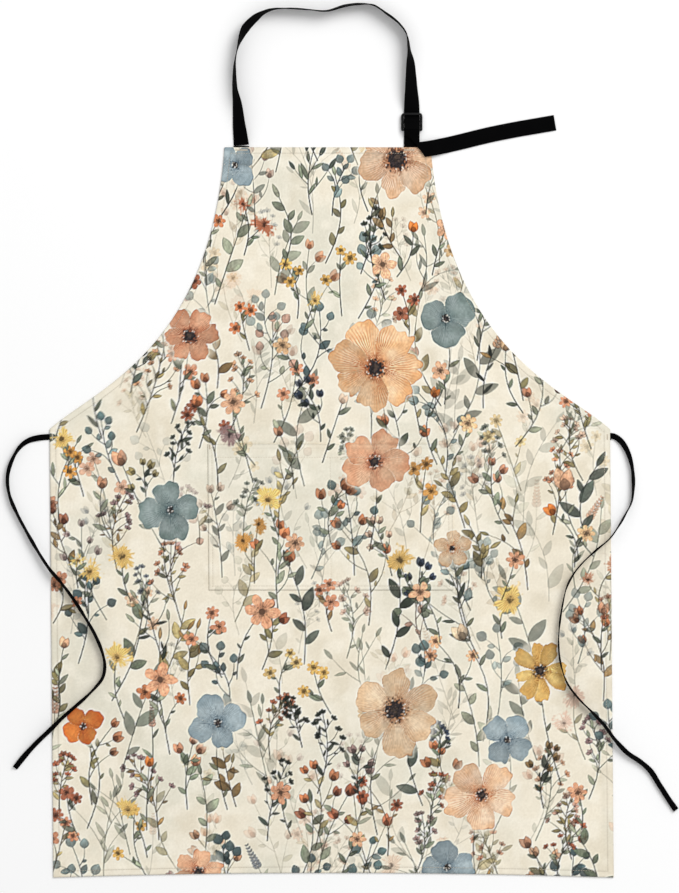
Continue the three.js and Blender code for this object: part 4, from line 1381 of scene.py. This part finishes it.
strap_tail = tape(
    "strap_tail_webbing",
    tail_path,
    WEBBING_WIDTH,
    WEBBING_THICKNESS,
    start=tail_start,
    wave=0.2,
)
finish_piece(strap_tail, WEBBING, "webbing", "strap_tail")
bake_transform(strap_tail)

def on_edge(roll, steepest):
    """Where a tie leans at all, it stands nearly on its edge."""
    return min(roll * (1 + 0.5 * float(smoothstep(30, 55, roll))), steepest)


for side, route, seam_x, steepest in (
    ("left", LEFT_TIE_ROUTE, -0.334, 66),
    ("right", RIGHT_TIE_ROUTE, 0.3326, 78),
):
    steeper = [(x, y, ground, on_edge(roll, steepest)) for x, y, ground, roll in route]
    tie_path = resting_path(steeper, TIE_WIDTH, TIE_THICKNESS)
    tie = tape(f"{side}_tie_tape", tie_path, TIE_WIDTH, TIE_THICKNESS, spacing=1.5, wave=0.5)
    finish_piece(tie, TIE_TAPE, "tie_tape", f"{side}_tie")
    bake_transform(tie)

# ---------------------------------------------------------------- webbing at the buckle
over_pivot = BUCKLE_LEVEL + 3.3
over_middle = BUCKLE_LEVEL + BUCKLE_THICKNESS / 2 + 0.9
pass_points = [
    (PIVOT_BAR_Y, over_pivot),
    (PIVOT_BAR_Y + 3, over_pivot - 0.2),
    (BUCKLE_Y - 2.5, over_middle + 0.2),
    (BUCKLE_Y + 2.5, over_middle),
    (BUCKLE_Y + 5.2, 2.6),
    (BUCKLE_Y + 7.4, 0.85),
    (BUCKLE_Y + BUCKLE_LENGTH / 2 + 0.9, 0.8),
]


def straight_path(points):
    """A path in the plane of the buckle's webbing, from (y, z) points."""
    return TapePath([(STRAP_RIGHT_X, y, z) for y, z in points], [0] * len(points))


strap_in_buckle = strap_piece(
    "strap_in_buckle",
    straight_path(pass_points),
    ("neck_loop", "buckle"),
    start=(0.0943, 0.4712, 0.001),
    end=(0.0943, 0.4615, 0.004),
    spacing=0.7,
)

lead_points = [
    (BIB_TOP - 6, 2.9),
    (BIB_TOP - 1, 2.9),
    (BIB_TOP + 4.6, 2.6),
    (BIB_TOP + 10, 2.9),
    (BIB_TOP + 14, 3.9),
    (PIVOT_BAR_Y - 2.6, over_pivot - 0.6),
    (PIVOT_BAR_Y - 0.3, over_pivot),
]


def lead_start(a):
    """The lead ends on the same diagonal fold that the tail begins on."""
    fold_y = FOLD_LOW[1] + (STRAP_RIGHT_X + a - FOLD_LOW[0]) / FOLD_SLOPE
    return np.clip(fold_y - lead_points[0][0], 0, 22)


strap_lead = tape(
    "strap_lead_webbing",
    straight_path(lead_points),
    WEBBING_WIDTH,
    WEBBING_THICKNESS,
    start=lead_start,
    spacing=0.8,
)
finish_piece(strap_lead, WEBBING, "webbing", "strap_lead")
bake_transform(strap_lead)

LOOP_TAPE = 0.62
turn_radius = 1.75
loop_points = [(BIB_TOP + 1, 0.45), (BIB_TOP + 7, 0.45), (BIB_TOP + 13, 0.5)]
for angle in np.radians([-78, -40, 0, 40, 80, 120]):
    y = PIVOT_BAR_Y + turn_radius * math.cos(angle)
    loop_points.append((y, BUCKLE_LEVEL + turn_radius * math.sin(angle)))
loop_points += [(BIB_TOP + 13, 1.7), (BIB_TOP + 7, 1.2), (BIB_TOP + 1, 1.12)]
buckle_loop = strap_piece(
    "buckle_loop",
    straight_path(loop_points),
    ("apron", "neck_loop"),
    start=(0.0943, 0.4319, 0.002),
    end=(0.0943, 0.4405, 0.002),
    thickness=LOOP_TAPE,
    spacing=0.5,
)

buckle = add_piece(make_buckle(), PLASTIC, "buckle_plastic", "buckle", "buckle")

# ---------------------------------------------------------------- cloth, hems and pocket
panel = add_piece(make_panel(), PRINTED_CLOTH, "printed_cloth", "front_panel")
pocket = add_piece(make_pocket(), PRINTED_CLOTH, "printed_cloth", "pocket_panel")

edges = edge_lines()
strap_half = WEBBING_WIDTH / 2 + 0.4
lean_at_bib = lean(BIB_TOP)
bib_hem_line = np.array([
    (STRAP_LEFT_X + strap_half - lean_at_bib, BIB_TOP),
    (STRAP_RIGHT_X - strap_half - lean_at_bib, BIB_TOP),
])
side_trim = TIE_Y - TIE_WIDTH / 2 - 0.5
right_side_hem = np.array([(SKIRT_HALF_WIDTH, side_trim), (SKIRT_HALF_WIDTH, SKIRT_BOTTOM + HEM_WIDTH + 0.4)])
above_skirt = ARMHOLE[:-14]
hem_lines = {
    "bib_top": bib_hem_line,
    "left_armhole": mirrored(above_skirt),
    "right_armhole": above_skirt,
    "left_side": mirrored(right_side_hem),
    "right_side": right_side_hem,
    "bottom": edges["bottom"],
}
for edge, line in hem_lines.items():
    fold = hem(f"{edge}_fold", line, HEM_WIDTH, relief)
    add_piece(fold, CLOTH_REVERSE, "cloth_reverse", f"{edge}_hem")


mouth_line = np.array([(-POCKET_HALF_WIDTH + 9, POCKET_TOP), (POCKET_HALF_WIDTH - 9, POCKET_TOP)])
mouth = hem("pocket_mouth_fold", mouth_line, MOUTH_HEM, pocket_relief, layers=1)
add_piece(mouth, CLOTH_REVERSE, "cloth_reverse", "pocket_mouth_hem")

# ---------------------------------------------------------------- stitching
side_row = np.array([(SKIRT_HALF_WIDTH, SKIRT_TOP - 8), (SKIRT_HALF_WIDTH, SKIRT_BOTTOM + 8)])
stitch_rows = {
    "bib_top": [(-BIB_HALF_WIDTH + 8, BIB_TOP), (BIB_HALF_WIDTH - 8, BIB_TOP)],
    "left_side": mirrored(side_row),
    "right_side": side_row,
    "left_armhole": mirrored(ARMHOLE[8:-8]),
    "right_armhole": ARMHOLE[8:-8],
    "bottom": edges["bottom"][1:-1],
}


def add_stitches(name, node, lines, height, **settings):
    return add_piece(stitches(name, lines, height, **settings), THREAD, "sewing_thread", node)


for edge, line in stitch_rows.items():
    row = leaned(strip_line(spaced(np.array(line, dtype=float), 3), STITCH_INSET))
    add_stitches(f"{edge}_stitches", f"{edge}_stitching", [row], relief)
rim_x = POCKET_HALF_WIDTH - POCKET_STITCH_INSET
rim_y = POCKET_BOTTOM + POCKET_STITCH_INSET
rim = [
    flat_line([(-rim_x, POCKET_TOP - 4), (-rim_x, rim_y)]),
    flat_line([(-rim_x, rim_y), (rim_x, rim_y)]),
    flat_line([(rim_x, rim_y), (rim_x, POCKET_TOP - 4)]),
]
add_stitches("pocket_rim_stitches", "pocket_rim_stitching", rim, pocket_relief)
mouth_row = flat_line([(-POCKET_HALF_WIDTH + 9, MOUTH_STITCH_Y), (POCKET_HALF_WIDTH - 9, MOUTH_STITCH_Y)])
add_stitches("pocket_mouth_stitches", "pocket_mouth_stitching", [mouth_row], pocket_relief)
divider = flat_line([(0, rim_y + 2), (0, MOUTH_STITCH_Y - 1)])
add_stitches("pocket_divider_stitches", "pocket_divider_stitching", [divider], pocket_relief)


def bar_tack(node, x, y, width, length, height):
    """A short dense bar of stitches, sewn across its longer way."""
    if width > length:
        line = np.array([(x - width / 2, y), (x + width / 2, y)])
    else:
        line = np.array([(x, y - length / 2), (x, y + length / 2)])
    thread = dict(pitch=0.55, length=min(width, length), radius=0.26, across=True)
    return add_stitches(f"{node}_thread", node, [line], height, **thread)


for node, height in (
    ("left_pocket_bar_tack", pocket_relief),
    ("right_pocket_bar_tack", pocket_relief),
    ("neck_strap_bar_tack", relief),
    ("buckle_loop_bar_tack", relief),
    ("left_tie_bar_tack", relief),
    ("right_tie_bar_tack", relief),
):
    low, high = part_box(node)
    bar_tack(
        node,
        (low[0] + high[0]) / 2 / MM,
        (low[1] + high[1]) / 2 / MM,
        (high[0] - low[0]) / MM,
        (high[1] - low[1]) / MM,
        height,
    )

# ---------------------------------------------------------------- tape sewn behind the cloth
for node, thickness, material, slot in (
    ("neck_strap_sewn_end", WEBBING_THICKNESS, WEBBING, "webbing"),
    ("buckle_loop_sewn_end", WEBBING_THICKNESS, WEBBING, "webbing"),
    ("left_tie_sewn_end", TIE_THICKNESS, TIE_TAPE, "tie_tape"),
    ("right_tie_sewn_end", TIE_THICKNESS, TIE_TAPE, "tie_tape"),
):
    low, high = (np.array(corner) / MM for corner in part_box(node))
    middle = (low + high) / 2
    if high[1] - low[1] > high[0] - low[0] or node.startswith(("neck", "buckle")):
        ends = [(middle[0], y, middle[2]) for y in (low[1], middle[1], high[1])]
        width = high[0] - low[0]
    else:
        ends = [(x, middle[1], middle[2]) for x in (low[0], middle[0], high[0])]
        width = high[1] - low[1]
    piece = tape(f"{node}_tape", TapePath(ends, [0, 0, 0]), width, thickness)
    add_piece(piece, material, slot, node)

# The pocket's turned-in edges: two side bands and one along the bottom, in one piece
turned = []
for line in (
    [(-POCKET_HALF_WIDTH, POCKET_BOTTOM + 0.5), (-POCKET_HALF_WIDTH, POCKET_TOP - 1)],
    [(POCKET_HALF_WIDTH, POCKET_TOP - 1), (POCKET_HALF_WIDTH, POCKET_BOTTOM + 0.5)],
    [(POCKET_HALF_WIDTH - 8.5, POCKET_BOTTOM), (-POCKET_HALF_WIDTH + 8.5, POCKET_BOTTOM)],
):
    turned.append(hem("pocket_turning", np.array(line, dtype=float), HEM_WIDTH, pocket_relief, layers=1))


def joined(name, parts):
    """Several pieces as one mesh."""
    points = []
    quads = []
    triangles = []
    first = 0
    for part in parts:
        mesh = part.data
        co = np.empty(3 * len(mesh.vertices), dtype=np.float32)
        mesh.vertices.foreach_get("co", co)
        points.append(co.reshape(-1, 3) / MM)
        for face in mesh.polygons:
            corners = [first + v for v in face.vertices]
            (quads if len(corners) == 4 else triangles).append(corners)
        first += len(mesh.vertices)
        bpy.data.objects.remove(part)
    return build(name, np.concatenate(points), quads, triangles)


turning = joined("pocket_turned_edges", turned)
add_piece(turning, CLOTH_REVERSE, "cloth_reverse", "pocket_turned_edge")


# ---------------------------------------------------------------- floor and lights
FLOOR_HALF = 9000
FLOOR_LEVEL = -0.3
SKY_STRENGTH = 0.66
KEY_PLACE = (2.4, 2.7, 3.7)
KEY_DIAMETER = 3.2
KEY_POWER = 150


def add_floor():
    signs = [(-1, -1), (1, -1), (1, 1), (-1, 1)]
    corners = [(x * FLOOR_HALF, y * FLOOR_HALF, FLOOR_LEVEL) for x, y in signs]
    floor = build("floor", corners, [(0, 1, 2, 3)])
    graph = Graph("floor", (0.97, 0.97, 0.97), 0.9)
    graph.set(Specular_IOR_Level=0.1)
    floor.data.materials.append(graph.material)
    floor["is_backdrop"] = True


def add_lights():
    world = bpy.data.worlds.new("studio")
    bpy.context.scene.world = world
    world.use_nodes = True
    background = world.node_tree.nodes["Background"]
    background.inputs["Color"].default_value = (1, 1, 1, 1)
    background.inputs["Strength"].default_value = SKY_STRENGTH
    key = bpy.data.lights.new("key", "AREA")
    key.shape = "DISK"
    key.size = KEY_DIAMETER
    key.energy = KEY_POWER
    key_object = bpy.data.objects.new("key", key)
    key_object.location = KEY_PLACE
    direction = -np.array(key_object.location)
    key_object.rotation_euler = (
        math.atan2(math.hypot(direction[0], direction[1]), -direction[2]),
        0,
        math.atan2(direction[0], -direction[1]) + math.pi,
    )
    bpy.context.collection.objects.link(key_object)


add_floor()
add_lights()
bpy.context.scene.view_settings.view_transform = "Standard"

low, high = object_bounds()
